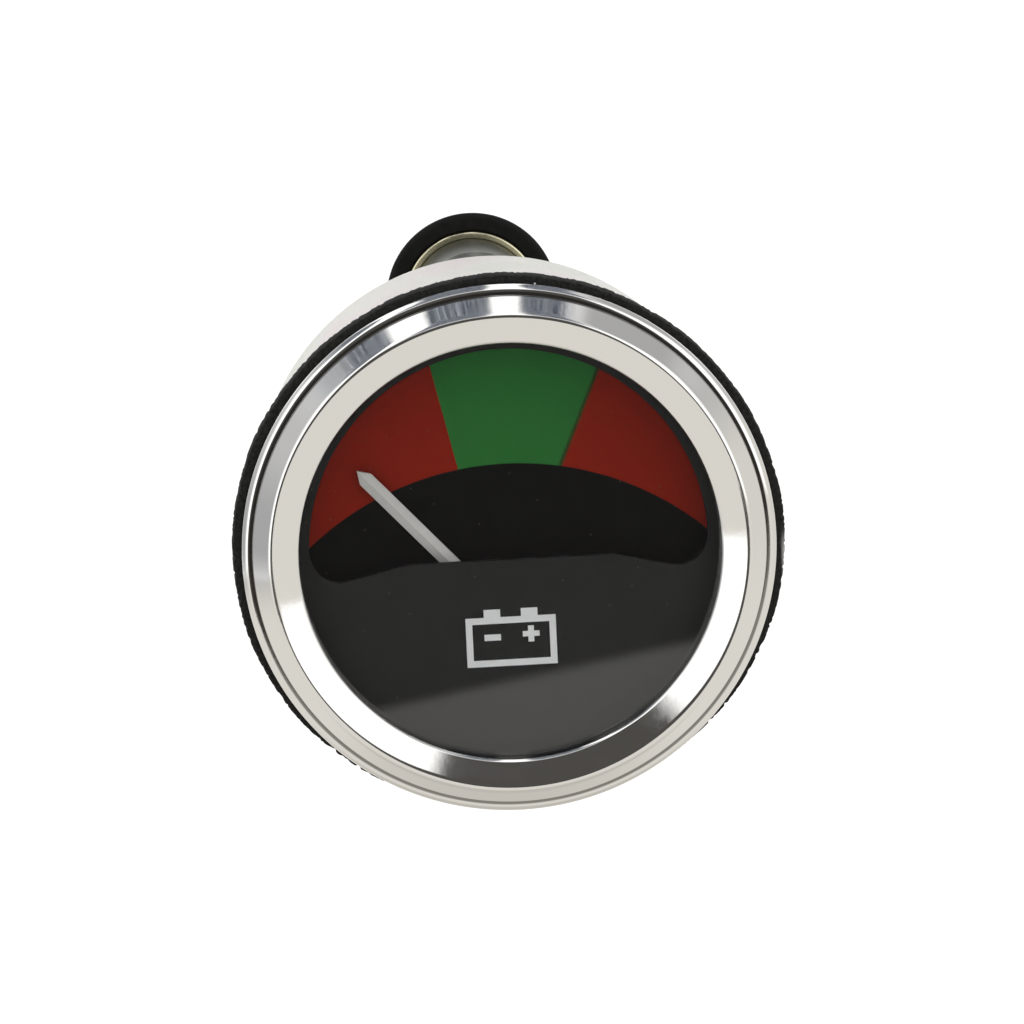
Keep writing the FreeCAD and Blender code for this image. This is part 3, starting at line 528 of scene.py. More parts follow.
class Finishes:
    """Every finish of the gauge, made once."""

    def __init__(self) -> None:
        """Build all the materials."""
        self.chrome = ChromePlate().make()
        self.zinc = ZincPlate().make()
        self.yellow_zinc = Metal("yellow_passivated_zinc", "#F6F0CC", roughness=0.22).make()
        self.steel = Metal("rolled_steel", "#C9CBCA", roughness=0.38).make()
        self.tin = Metal("tinned_steel", "#7E7E77", roughness=0.36).make()
        self.brass = Metal("drawn_brass", "#C9A257", roughness=0.26).make()
        self.bimetal = Metal("bimetal_strip", "#B5ADA0", roughness=0.34, marks=(0.15, 1.0, 1.0)).make()
        self.heater = Metal("resistance_wire", "#9A8468", roughness=0.4, marks=(6.0, 1.0, 1.0)).make()
        self.sponge = Rubber("sponge_rubber", "#0D0D0C", "#232321", roughness=0.75, grain=0.4, depth=0.012,
                             dust=Dust(8.0, 0.14, "#C9C6BE")).make()
        self.boot = Rubber("moulded_rubber", "#0A0A09", "#121211", roughness=0.5, grain=0.6,
                           depth=0.006).make()
        self.mask = Moulding("mask_polystyrene", "#292929", "#2E2E2D", roughness=0.4, shine=0.12).make()
        self.phenolic = Moulding("phenolic_resin", "#4A2A18", "#5A3520", roughness=0.35).make()
        self.dial = DialEnamel().make()
        self.pointer = Enamel("pointer_enamel", "#E2E1DD", "#D2D1CC").make()
        self.ink = Enamel("screen_ink", "#F6F8F7", "#EEF0EF").make()
        self.glass = ClearGlass().make()


def linked(made: Piece) -> Piece:
    """Put a new object into the scene."""
    bpy.context.scene.collection.objects.link(made)
    return made


def evaluated_mesh(source: Piece) -> bpy.types.Mesh:
    """Mesh of an object as its modifiers or its curve make it."""
    return bpy.data.meshes.new_from_object(source.evaluated_get(bpy.context.evaluated_depsgraph_get()))


def rounded(corners: Profile, closed: bool = True, steps: int = 6) -> list[Point]:
    """Round the corners of a profile, with a point just past each rounding that keeps the flats flat.

    Args:
        corners: The profile.
        closed: Whether the last corner joins the first.
        steps: Straight pieces in each rounded corner.

    Returns:
        The points of the rounded profile.
    """
    points: list[Point] = []
    count = len(corners)
    for index, (radius, depth, turn) in enumerate(corners):
        here = Vector((radius, depth))
        if turn <= 0 or (not closed and index in (0, count - 1)):
            points.append((radius, depth))
            continue
        before = Vector(corners[index - 1][:2]) - here
        after = Vector(corners[(index + 1) % count][:2]) - here
        angle = before.angle(after)
        cut = min(turn / math.tan(angle / 2), before.length * ROUND_SHARE, after.length * ROUND_SHARE)
        start, stop = here + before.normalized() * cut, here + after.normalized() * cut
        points.append(tuple(here + before.normalized() * cut * GUARD))
        for step in range(steps + 1):
            share = step / steps
            spot = start * (1 - share) ** 2 + here * 2 * share * (1 - share) + stop * share ** 2
            points.append((spot.x, spot.y))
        points.append(tuple(here + after.normalized() * cut * GUARD))
    return points


def arc(centre: Point, radii: Point, start: float, stop: float, steps: int) -> list[Point]:
    """Draw an arc of a circle or an ellipse.

    Args:
        centre: Its middle.
        radii: Radius along the first and along the second axis.
        start: First angle, in degrees.
        stop: Last angle.
        steps: Straight pieces between them.

    Returns:
        The points of the arc, both ends included.
    """
    angles = [math.radians(start + (stop - start) * step / steps) for step in range(steps + 1)]
    return [(centre[0] + radii[0] * math.cos(angle), centre[1] + radii[1] * math.sin(angle))
            for angle in angles]


def round_outline(radius: float, centre: Point = (0.0, 0.0), steps: int = 256) -> list[Point]:
    """Points of a circle across and up."""
    return arc(centre, (radius, radius), 0.0, 360.0, steps)[:-1]


def finish_mesh(name: str, builder: bmesh.types.BMesh, sharp: float = SHARP) -> Piece:
    """Turn a built mesh into a smooth-shaded object at the origin.

    Args:
        name: Name of the piece.
        builder: The mesh under construction, in metres; it is freed.
        sharp: Angle in degrees past which an edge stays sharp.

    Returns:
        The new object.
    """
    bmesh.ops.remove_doubles(builder, verts=builder.verts, dist=MERGE)
    bmesh.ops.recalc_face_normals(builder, faces=builder.faces)
    mesh = bpy.data.meshes.new(name)
    builder.to_mesh(mesh)
    builder.free()
    mesh.shade_smooth()
    mesh.set_sharp_from_angle(angle=math.radians(sharp))
    return linked(bpy.data.objects.new(name, mesh))


def turned(name: str, profile: Sequence[Point], centre: Point = (0.0, 0.0), segments: int = 256,
           wobble: Callable[[float, float, float], float] | None = None) -> Piece:
    """Turn a closed profile about an axis parallel to Y.

    Args:
        name: Name of the piece.
        profile: Radius and depth of each point, in millimetres.
        centre: Place of the axis across and up, in millimetres.
        segments: Steps round the axis.
        wobble: Change of radius at an angle, radius and depth, for a ragged edge.

    Returns:
        The new object.
    """
    builder = bmesh.new()
    rings = []
    for radius, depth in profile:
        ring = []
        for step in range(segments):
            angle = 2 * math.pi * step / segments
            reach = radius + (wobble(angle, radius, depth) if wobble else 0.0)
            spot = Vector((centre[0] + reach * math.cos(angle), depth, centre[1] + reach * math.sin(angle)))
            ring.append(builder.verts.new(spot * MM))
        rings.append(ring)
    for first, second in zip(rings, rings[1:] + rings[:1]):
        for step in range(segments):
            after = (step + 1) % segments
            builder.faces.new((first[step], first[after], second[after], second[step]))
    bmesh.ops.remove_doubles(builder, verts=builder.verts, dist=MERGE)
    bmesh.ops.dissolve_degenerate(builder, dist=DROP, edges=builder.edges)
    return finish_mesh(name, builder)


def plate(name: str, outlines: Sequence[Sequence[Point]], front: float, back: float, bevel: float) -> Piece:
    """Cut a plate square to Y, with rounded edges.

    Args:
        name: Name of the piece.
        outlines: Outer outline and holes as points across and up, in millimetres.
        front: Depth of the front face.
        back: Depth of the back face.
        bevel: Rounding of the edges.

    Returns:
        The new object.
    """
    curve = bpy.data.curves.new(name, "CURVE")
    curve.dimensions = "2D"
    curve.fill_mode = "BOTH"
    curve.extrude = ((back - front) / 2 - bevel) * MM
    curve.bevel_depth = bevel * MM
    curve.offset = -bevel * MM
    curve.bevel_resolution = 2
    for outline in outlines:
        spline = curve.splines.new("POLY")
        spline.points.add(len(outline) - 1)
        for knot, (across, up) in zip(spline.points, outline):
            knot.co = (across * MM, up * MM, 0.0, 1.0)
        spline.use_cyclic_u = True
    flat = linked(bpy.data.objects.new(f"{name}_curve", curve))
    mesh = evaluated_mesh(flat)
    bpy.data.objects.remove(flat)
    mesh.transform(Matrix.Translation((0, (front + back) / 2 * MM, 0)) @ Matrix.Rotation(QUARTER, 4, "X"))
    builder = bmesh.new()
    builder.from_mesh(mesh)
    bpy.data.meshes.remove(mesh)
    return finish_mesh(name, builder, FLAT_SHARP)


def merged(name: str, parts: Sequence[Piece]) -> Piece:
    """Gather several meshes into one piece and remove the parts.

    Args:
        name: Name of the piece.
        parts: The pieces that it is made of.

    Returns:
        The new object.
    """
    builder = bmesh.new()
    for part in parts:
        builder.from_mesh(part.data)
        bpy.data.objects.remove(part)
    return finish_mesh(name, builder, FLAT_SHARP)


def cut_out(piece: Piece, cutter: Piece) -> None:
    """Cut one mesh out of another, and remove the cutter.

    Args:
        piece: The piece that is cut.
        cutter: The shape that is taken away.
    """
    change = piece.modifiers.new("cut", "BOOLEAN")
    change.object = cutter
    change.solver = "EXACT"
    mesh = evaluated_mesh(piece)
    piece.modifiers.remove(change)
    bpy.data.objects.remove(cutter)
    piece.data = mesh
    mesh.shade_smooth()
    mesh.set_sharp_from_angle(angle=math.radians(SHARP))


def block(low: Corner, high: Corner, name: str = "block") -> Piece:
    """Make a plain block, used as a cutter, a bar or the floor.

    Args:
        low: Its lowest corner, in millimetres.
        high: Its highest corner.
        name: Name of the piece.

    Returns:
        The new object.
    """
    builder = bmesh.new()
    bmesh.ops.create_cube(builder, size=1.0)
    for vert in builder.verts:
        vert.co = Vector([(low[i] + (high[i] - low[i]) * (vert.co[i] + 0.5)) * MM for i in range(3)])
    return finish_mesh(name, builder)


class Repeat(NodeTree):
    """Geometry Nodes that set copies of a small shape round an axis or along it."""

    def __init__(self, name: str, count: int, material: Material) -> None:
        """Start a tree with an input for the number of copies.

        Args:
            name: Name of the piece.
            count: Number of copies.
            material: Finish of the copies.
        """
        super().__init__(bpy.data.node_groups.new(name, "GeometryNodeTree"))
        self.name = name
        self.count = count
        self.material = material
        self.tree.interface.new_socket("Geometry", in_out="OUTPUT", socket_type="NodeSocketGeometry")
        self.copies = self.tree.interface.new_socket("Copies", in_out="INPUT", socket_type="NodeSocketInt")
        self.start = self.add("NodeGroupInput").outputs["Copies"]

    def harvest(self, points: Socket, shape: Socket, turns: dict, depth: float) -> Piece:
        """Set the copies on their points, lay them along Y and turn them into a plain mesh piece.

        Args:
            points: Geometry output that holds a point for each copy.
            shape: Geometry output that holds the shape.
            turns: The copies' rotation, by the name of its input, or nothing.
            depth: Depth of the points' origin, in millimetres.

        Returns:
            The new object.
        """
        copies = self.add("GeometryNodeInstanceOnPoints", None, {
            "Points": points, "Instance": shape, **turns}).outputs[0]
        laid = self.add("GeometryNodeTransform", None, {
            "Geometry": copies, "Translation": (0, depth * MM, 0), "Rotation": (QUARTER, 0, 0)}).outputs[0]
        real = self.add("GeometryNodeRealizeInstances", None, {0: laid}).outputs[0]
        dressed = self.add("GeometryNodeSetMaterial", None, {0: real, "Material": self.material}).outputs[0]
        self.add("NodeGroupOutput", None, {0: dressed})
        seed = bpy.data.meshes.new(f"{self.name}_seed")
        carrier = linked(bpy.data.objects.new(self.name, seed))
        change = carrier.modifiers.new("copies", "NODES")
        change.node_group = self.tree
        change[self.copies.identifier] = self.count
        mesh = evaluated_mesh(carrier)
        carrier.modifiers.remove(change)
        carrier.data = mesh
        return carrier


def paint(piece: Piece, material: Material) -> None:
    """Make a material the only one of a piece."""
    piece.data.materials.clear()
    piece.data.materials.append(material)


def dress(piece: Piece, material: Material, body: Body, slot: str, *nodes: str) -> None:
    """Give a piece its finish and its body, and hide the nodes that it stands for.

    Args:
        piece: The piece to dress.
        material: Its finish.
        body: The body that it rides on.
        slot: Name of a material slot; not used.
        nodes: Nodes that it replaces.
    """
    paint(piece, material)
    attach(piece, body.value)
    if nodes:
        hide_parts(*nodes)
    LOG.info("%s: %d faces on %s", piece.name, len(piece.data.polygons), body.value)


@dataclass
class Face:
    """Bezel, lens, mask, dial and battery sign, seen from the front."""

    finishes: Finishes
    lip_to_groove: Profile = ((22.45, -4.55, 0.0), (22.17, -5.35, 0.45), (25.45, -6.4, 0.9),
                              (27.09, -4.23, 0.06), (27.11, -3.75, 0.04), (27.45, -3.75, 0.0))
    bead_centre: Point = (27.45, -3.075)
    bead_radii: Point = (0.81, 0.675)
    bezel_inside: tuple[Point, ...] = (
        (26.25, -2.4), (26.25, -2.9), (27.05, -2.9), (27.05, -3.45), (25.27, -5.81))
    lens_profile: Profile = ((0.0, -4.4, 0.0), (25.0, -4.4, 0.2), (25.0, -2.9, 0.2), (0.0, -2.9, 0.0))
    mask_radius: float = 25.0
    mask_depths: Point = (-1.2, -0.4)
    mask_edge: float = 0.06
    mask_rim: Profile = ((23.6, -2.9, 0.1), (25.0, -2.9, 0.1), (25.0, -1.2, 0.0), (23.6, -1.2, 0.0))
    mask_skirt: Profile = ((23.8, -0.4, 0.0), (25.0, -0.4, 0.0), (25.0, 2.1, 0.1), (23.8, 2.1, 0.1))
    window_radius: float = 21.1
    window_foot: Point = (11.0, -1.5)
    lobe_radius: float = 3.3
    lobe_lift: float = 0.3
    lobe_slope: float = 13.0
    dial_radius: float = 24.98
    dial_depths: Point = (2.1, 2.9)
    dial_edge: float = 0.04
    staff: Point = (0.0, -8.6)
    staff_hole: float = 2.0
    sign_centre: Point = (-0.2, -10.25)
    sign_half: Point = (4.785, 2.65)
    sign_stroke: float = 0.7
    sign_height: float = 0.03
    poles_across: Point = (-1.95, 2.0)
    pole_half: float = 0.88
    pole_height: float = 0.85
    minus: Band = (-2.85, -1.1, 0.15, 0.82)
    plus: tuple[Band, ...] = ((1.22, 3.0, 0.42, 1.0), (1.8, 2.42, -0.16, 0.42), (1.8, 2.42, 1.0, 1.58))

    def bezel(self) -> None:
        """Pressed ring: rolled lip, dished cone, crest, flank, groove and bead."""
        bead = arc(self.bead_centre, self.bead_radii, -90.0, 90.0, steps=16)
        profile = [*rounded(self.lip_to_groove, closed=False), *bead[1:], *self.bezel_inside]
        dress(turned("bezel_ring", profile, segments=384), self.finishes.chrome, Body.GAUGE,
              "chrome_plate", "bezel")

    def lens(self) -> None:
        """Flat glass with ground edges."""
        disc = turned("lens_disc", rounded(self.lens_profile))
        dress(disc, self.finishes.glass, Body.GAUGE, "clear_glass", "lens")

    def window(self) -> list[Point]:
        """Draw the mask's window: an arch with a round lobe at each lower end.

        Returns:
            The points of its outline.
        """
        lobe_x = math.sqrt((self.window_radius - self.lobe_radius) ** 2 - self.lobe_lift ** 2)
        tilt = math.degrees(math.atan2(self.lobe_lift, lobe_x))
        right = arc((lobe_x, self.lobe_lift), (self.lobe_radius, self.lobe_radius),
                    -90.0 - self.lobe_slope, tilt, steps=24)
        top = arc((0.0, 0.0), (self.window_radius, self.window_radius), tilt, 180.0 - tilt, steps=160)
        left = [(-across, up) for across, up in reversed(right)]
        foot, edge = self.window_foot
        return [(-foot, edge), (foot, edge), *right, *top[1:-1], *left]

    def mask(self) -> None:
        """Windowed plate with a rim in front and a skirt behind."""
        sheet = plate("mask_sheet", [round_outline(self.mask_radius), self.window()], *self.mask_depths,
                      self.mask_edge)
        rim = turned("mask_rim", rounded(self.mask_rim))
        skirt = turned("mask_skirt", rounded(self.mask_skirt))
        dress(merged("mask_moulding", [sheet, rim, skirt]), self.finishes.mask, Body.GAUGE,
              "mask_plastic", "mask_plate")

    def dial(self) -> None:
        """Printed plate with its staff hole."""
        outlines = [round_outline(self.dial_radius), round_outline(self.staff_hole, self.staff, steps=48)]
        disc = plate("dial_disc", outlines, *self.dial_depths, self.dial_edge)
        dress(disc, self.finishes.dial, Body.GAUGE, "dial_enamel", "dial_plate")

    def sign(self) -> None:
        """Plain outline of a battery with its two poles, printed on the mask."""
        (cx, cz), (half, tall), stroke = self.sign_centre, self.sign_half, self.sign_stroke
        back = self.mask_depths[0]
        front = back - self.sign_height
        bars = [(-half, half, tall - stroke, tall), (-half, half, -tall, stroke - tall),
                (-half, stroke - half, stroke - tall, tall - stroke),
                (half - stroke, half, stroke - tall, tall - stroke)]
        bars += [(x - self.pole_half, x + self.pole_half, tall, tall + self.pole_height)
                 for x in self.poles_across]
        bars += [self.minus, *self.plus]
        parts = [block((cx + low, front, cz + bottom), (cx + high, back, cz + top))
                 for low, high, bottom, top in bars]
        dress(merged("battery_sign", parts), self.finishes.ink, Body.GAUGE, "pointer_enamel")

    def build(self) -> None:
        """Build the whole face."""
        for make in (self.bezel, self.lens, self.mask, self.dial, self.sign):
            make()


@dataclass
class Housing:
    """Can, panel gasket and terminals."""

    finishes: Finishes
    can_profile: Profile = ((26.8, -3.5, 0.1), (26.8, -2.9, 0.1), (26.0, -2.9, 0.2), (26.0, 32.5, 1.56),
                            (0.0, 32.5, 0.0), (0.0, 31.7, 0.0), (25.2, 31.7, 0.5), (25.2, -3.5, 0.1))
    lamp_centre: Point = (-0.7, 18.4)
    lamp_hole: tuple[Point, ...] = ((0.0, 29.5), (6.25, 29.5), (6.25, 35.5), (0.0, 35.5))
    gasket_inner: float = 26.05
    gasket_outer: float = 29.3
    gasket_edge: tuple[Point, ...] = (
        (0.5, -2.4), (0.12, -2.32), (0.0, -1.9), (0.0, -0.9), (0.0, -0.3), (0.12, -0.06), (0.5, 0.0))
    gasket_segments: int = 720
    gasket_sag: float = 1.06
    gasket_shift: float = 0.12
    gasket_crown: float = 0.2
    waves: tuple[Corner, ...] = ((0.03, 5.0, 0.6), (0.03, 17.0, 0.0))
    torn_reach: float = 0.6
    torn_split: float = -0.5
    torn_trim: float = 0.06
    tear: Point = (0.02, 0.05)
    chip_chance: float = 0.04
    chip_depth: float = 0.16
    chip_seed: int = 52
    chips: list[float] = field(default_factory=list)
    bush_profile: Profile = ((0.0, 29.7, 0.0), (4.0, 29.7, 0.2), (4.0, 32.5, 0.0), (5.2, 32.5, 0.0),
                             (5.2, 34.0, 0.4), (0.0, 34.0, 0.0))
    bush_centres: tuple[Point, Point] = ((-8.5, -14.0), (8.5, -14.0))

    def can(self) -> None:
        """Drawn cup with a mouth flange and the lamp's hole in its rear wall."""
        shell = turned("can_shell", rounded(self.can_profile, steps=8))
        cut_out(shell, turned("lamp_hole", self.lamp_hole, self.lamp_centre, segments=96))
        dress(shell, self.finishes.zinc, Body.GAUGE, "zinc_plated_steel", "can")

    def ragged(self, angle: float, radius: float, depth: float) -> float:
        """Find the change of the gasket's outer radius: a slow wave, fine tearing, a few chips and sag.

        Args:
            angle: Angle round the axis, from the right.
            radius: Radius of the plain ring there.
            depth: Depth of the point.

        Returns:
            The change, zero or less.
        """
        if radius < self.gasket_outer - self.torn_reach:
            return 0.0
        first = int(angle / (2 * math.pi) * len(self.chips)) % len(self.chips)
        fine = self.chips[first if depth < self.torn_split else (first + 1) % len(self.chips)]
        wave = sum(height * math.sin(count * angle + phase) for height, count, phase in self.waves)
        lower = self.gasket_sag * (1 + self.gasket_shift * math.cos(angle))
        sag = (lower if math.sin(angle) < 0 else self.gasket_crown) * math.sin(angle) ** 2
        return min(0.0, wave - self.torn_trim - fine - sag)

    def gasket(self) -> None:
        """Sponge ring cut by hand, with a torn outer edge."""
        tears = random.Random(self.chip_seed)
        self.chips = [max(0.0, tears.gauss(*self.tear))
                      + (self.chip_depth if tears.random() < self.chip_chance else 0.0)
                      for _ in range(self.gasket_segments)]
        profile = [(self.gasket_inner, self.gasket_edge[0][1]),
                   *((self.gasket_outer - cut, depth) for cut, depth in self.gasket_edge),
                   (self.gasket_inner, self.gasket_edge[-1][1])]
        ring = turned("gasket_ring", profile, segments=self.gasket_segments, wobble=self.ragged)
        dress(ring, self.finishes.sponge, Body.GAUGE, "gasket_rubber", "panel_gasket")

    def terminals(self) -> None:
        """Flanged insulators round the two blades."""
        profile = rounded(self.bush_profile)
        parts = [turned("bush", profile, centre, segments=96) for centre in self.bush_centres]
        dress(merged("terminal_bushes", parts), self.finishes.phenolic, Body.GAUGE, "phenolic",
              "terminal_insulators")

    def build(self) -> None:
        """Build the housing."""
        for make in (self.can, self.gasket, self.terminals):
            make()


@dataclass
class Clamp:
    """Threaded stud and thumb nut behind the can."""

    finishes: Finishes
    stud_profile: Profile = ((0.0, 30.2, 0.0), (5.0, 30.2, 0.2), (5.0, 31.7, 0.2), (2.1, 31.7, 0.0),
                             (2.1, 54.0, 0.4), (0.0, 54.0, 0.0))
    thread_radius: float = 2.5
    thread_start: float = 33.1
    thread_pitch: float = 0.8
    thread_crests: int = 26
    nut_profile: Profile = ((2.75, 39.05, 0.2), (5.2, 39.05, 0.2), (5.2, 40.55, 0.1), (6.15, 40.55, 0.3),
                            (6.15, 46.05, 0.3), (2.75, 46.05, 0.3))
    ridges: int = 24
    ridge_radius: float = 6.1
    ridge_ends: Point = (41.05, 45.55)
    ridge_width: float = 1.05505
    ridge_height: float = 0.8

    def crests(self) -> Piece:
        """Set thread crests along the stud, a pitch apart.

        Returns:
            The crests as one piece.
        """
        repeat = Repeat("stud_thread", self.thread_crests, self.finishes.zinc)
        depth = self.thread_pitch * 0.5
        crest = repeat.add("GeometryNodeMeshCone", {"fill_type": "NGON"}, {
            "Vertices": 32, "Radius Top": (self.thread_radius - depth) * MM,
            "Radius Bottom": self.thread_radius * MM, "Depth": depth * MM}).outputs[0]
        line = repeat.add("GeometryNodeMeshLine", {"mode": "OFFSET"}, {
            "Count": repeat.start, "Start Location": (0, 0, 0),
            "Offset": (0, 0, -self.thread_pitch * MM)}).outputs[0]
        return repeat.harvest(line, crest, {}, self.thread_start)

    def bars(self) -> Piece:
        """Set straight ridges round the nut.

        Returns:
            The ridges as one piece.
        """
        low, high = self.ridge_ends
        repeat = Repeat("nut_ridges", self.ridges, self.finishes.zinc)
        bar = repeat.add("GeometryNodeMeshCylinder", {"fill_type": "NGON"}, {
            "Vertices": 6, "Radius": 0.5 * MM, "Depth": (high - low) * MM}).outputs[0]
        sized = repeat.add("GeometryNodeTransform", None, {
            "Geometry": bar, "Scale": (self.ridge_height, self.ridge_width, 1.0)}).outputs[0]
        ring = repeat.add("GeometryNodeMeshCircle", None, {
            "Vertices": repeat.start, "Radius": self.ridge_radius * MM}).outputs[0]
        index = repeat.add("GeometryNodeInputIndex").outputs[0]
        angle = repeat.maths("MULTIPLY", index, repeat.maths("DIVIDE", 2 * math.pi, repeat.start))
        turn = repeat.add("ShaderNodeCombineXYZ", None, {2: angle}).outputs[0]
        return repeat.harvest(ring, sized, {"Rotation": turn}, (low + high) / 2)

    def stud(self) -> None:
        """Headed stud with thread crests."""
        shank = turned("stud_shank", rounded(self.stud_profile), segments=64)
        dress(merged("threaded_stud", [shank, self.crests()]), self.finishes.zinc, Body.GAUGE,
              "zinc_plated_steel", "clamp_stud")

    def nut(self) -> None:
        """Thumb nut with a plain collar and a ridged grip."""
        core = turned("nut_core", rounded(self.nut_profile), segments=144)
        dress(merged("ridged_nut", [core, self.bars()]), self.finishes.zinc, Body.NUT, "zinc_plated_steel",
              "thumb_nut")

    def build(self) -> None:
        """Build the clamp's turned pieces."""
        self.stud()
        self.nut()


@dataclass
class LampHolder:
    """Slit sleeve with a rolled collar, rubber boot and bulb."""

    finishes: Finishes
    centre: Point = (-0.7, 18.4)
    tube: Profile = ((5.5, 24.0, 0.1), (6.0, 24.0, 0.2), (6.0, 38.0, 0.6), (6.75, 40.0, 0.6),
                     (6.75, 51.9, 0.0), (6.0, 51.9, 0.0), (6.0, 59.0, 0.1), (5.5, 59.0, 0.1))
    slit: tuple[Corner, Corner] = ((-1.2, 23.0, 11.4), (-0.2, 31.0, 25.4))
    collar: Profile = ((6.75, 49.6, 0.25), (7.5, 49.6, 0.25), (7.5, 51.9, 0.2), (6.75, 51.9, 0.0))
    cap: Profile = ((7.55, 50.0, 0.35), (9.65, 50.0, 0.7), (9.35, 51.6, 0.6), (7.9, 60.0, 1.6),
                    (4.5, 65.0, 1.2), (4.5, 69.0, 0.6), (2.0, 69.0, 0.3), (2.0, 63.4, 0.0),
                    (6.05, 60.0, 0.0), (6.05, 51.95, 0.0), (7.55, 51.95, 0.0))
    base: Profile = ((0.0, 26.0, 0.0), (4.85, 26.0, 0.2), (5.35, 27.2, 0.4), (5.35, 38.0, 0.4),
                     (0.0, 38.0, 0.0))
    dome_centre: Point = (0.0, 18.4)
    dome_radii: Point = (4.4, 4.4)
    glass_foot: tuple[Point, ...] = ((4.4, 25.5), (4.0, 26.0), (0.0, 26.0))

    def sleeve(self) -> None:
        """Stepped steel tube with two slits, and a yellow collar."""
        tube = turned("lamp_tube", rounded(self.tube), self.centre, segments=128)
        cut_out(tube, block(*self.slit))
        dress(tube, self.finishes.tin, Body.LAMP, "zinc_plated_steel", "lamp_sleeve")
        collar = turned("lamp_collar", rounded(self.collar), self.centre, segments=160)
        dress(collar, self.finishes.yellow_zinc, Body.LAMP, "zinc_plated_steel")

    def boot(self) -> None:
        """Moulded cap with a thick mouth, a cone and a nipple for the wire."""
        cap = turned("boot_cap", rounded(self.cap, steps=8), self.centre, segments=192)
        dress(cap, self.finishes.boot, Body.LAMP, "moulded_rubber", "lamp_boot")

    def bulb(self) -> None:
        """Plain brass base and a domed glass."""
        base = turned("bulb_barrel", rounded(self.base), self.centre, segments=96)
        dress(base, self.finishes.brass, Body.LAMP, "brass", "bulb_base")
        dome = arc(self.dome_centre, self.dome_radii, -90.0, 0.0, steps=16)
        glass = turned("bulb_envelope", [*dome, *self.glass_foot], self.centre, segments=96)
        dress(glass, self.finishes.glass, Body.LAMP, "clear_glass", "bulb_glass")

    def build(self) -> None:
        """Build the lamp holder."""
        for make in (self.sleeve, self.boot, self.bulb):
            make()


def dress_kept_nodes(finishes: Finishes) -> None:
    """Give the nodes whose own shapes are shown their finishes.

    Args:
        finishes: The gauge's finishes.
    """
    wear = (
        (finishes.steel, ("dial_screws", "movement_frame", "frame_pillars", "zero_adjuster", "pointer_staff",
                          "crank_arm", "lock_washer", "contact_spring")),
        (finishes.brass, ("positive_terminal", "negative_terminal", "lamp_contact", "lamp_terminal")),
        (finishes.zinc, ("pillar_nuts", "mounting_bracket")),
        (finishes.boot, ("lens_seal",)),
        (finishes.bimetal, ("bimetal_strip",)),
        (finishes.heater, ("heater_winding",)),
        (finishes.phenolic, ("lamp_insulator",)),
        (finishes.pointer, ("pointer",)),
    )
    for material, names in wear:
        for name in names:
            paint(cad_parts[name], material)


class Sky(NodeTree):
    """The world's node tree, with the parts of the direction that a ray leaves in."""

    def __init__(self) -> None:
        """Start a world and make it the scene's own."""
        world = bpy.data.worlds.new("studio")
        bpy.context.scene.world = world
        world.use_nodes = True
        super().__init__(world.node_tree)
        self.tree.nodes.clear()
        self.way = self.add("ShaderNodeTexCoord").outputs["Generated"]
        self.x, self.y, self.z = self.axes(self.way)

    def sloped(self, slope: float) -> Socket:
        """Height of a direction above an edge that leans across the view."""
        return self.maths("MULTIPLY_ADD", self.x, -slope, self.z)

    def band(self, low: float, high: float, soft_low: float, soft_high: float) -> Socket:
        """Share of 1 between two places across, with soft ends."""
        return self.product(self.ramp(self.x, low - soft_low, low + soft_low),
                            self.ramp(self.x, high + soft_high, high - soft_high))


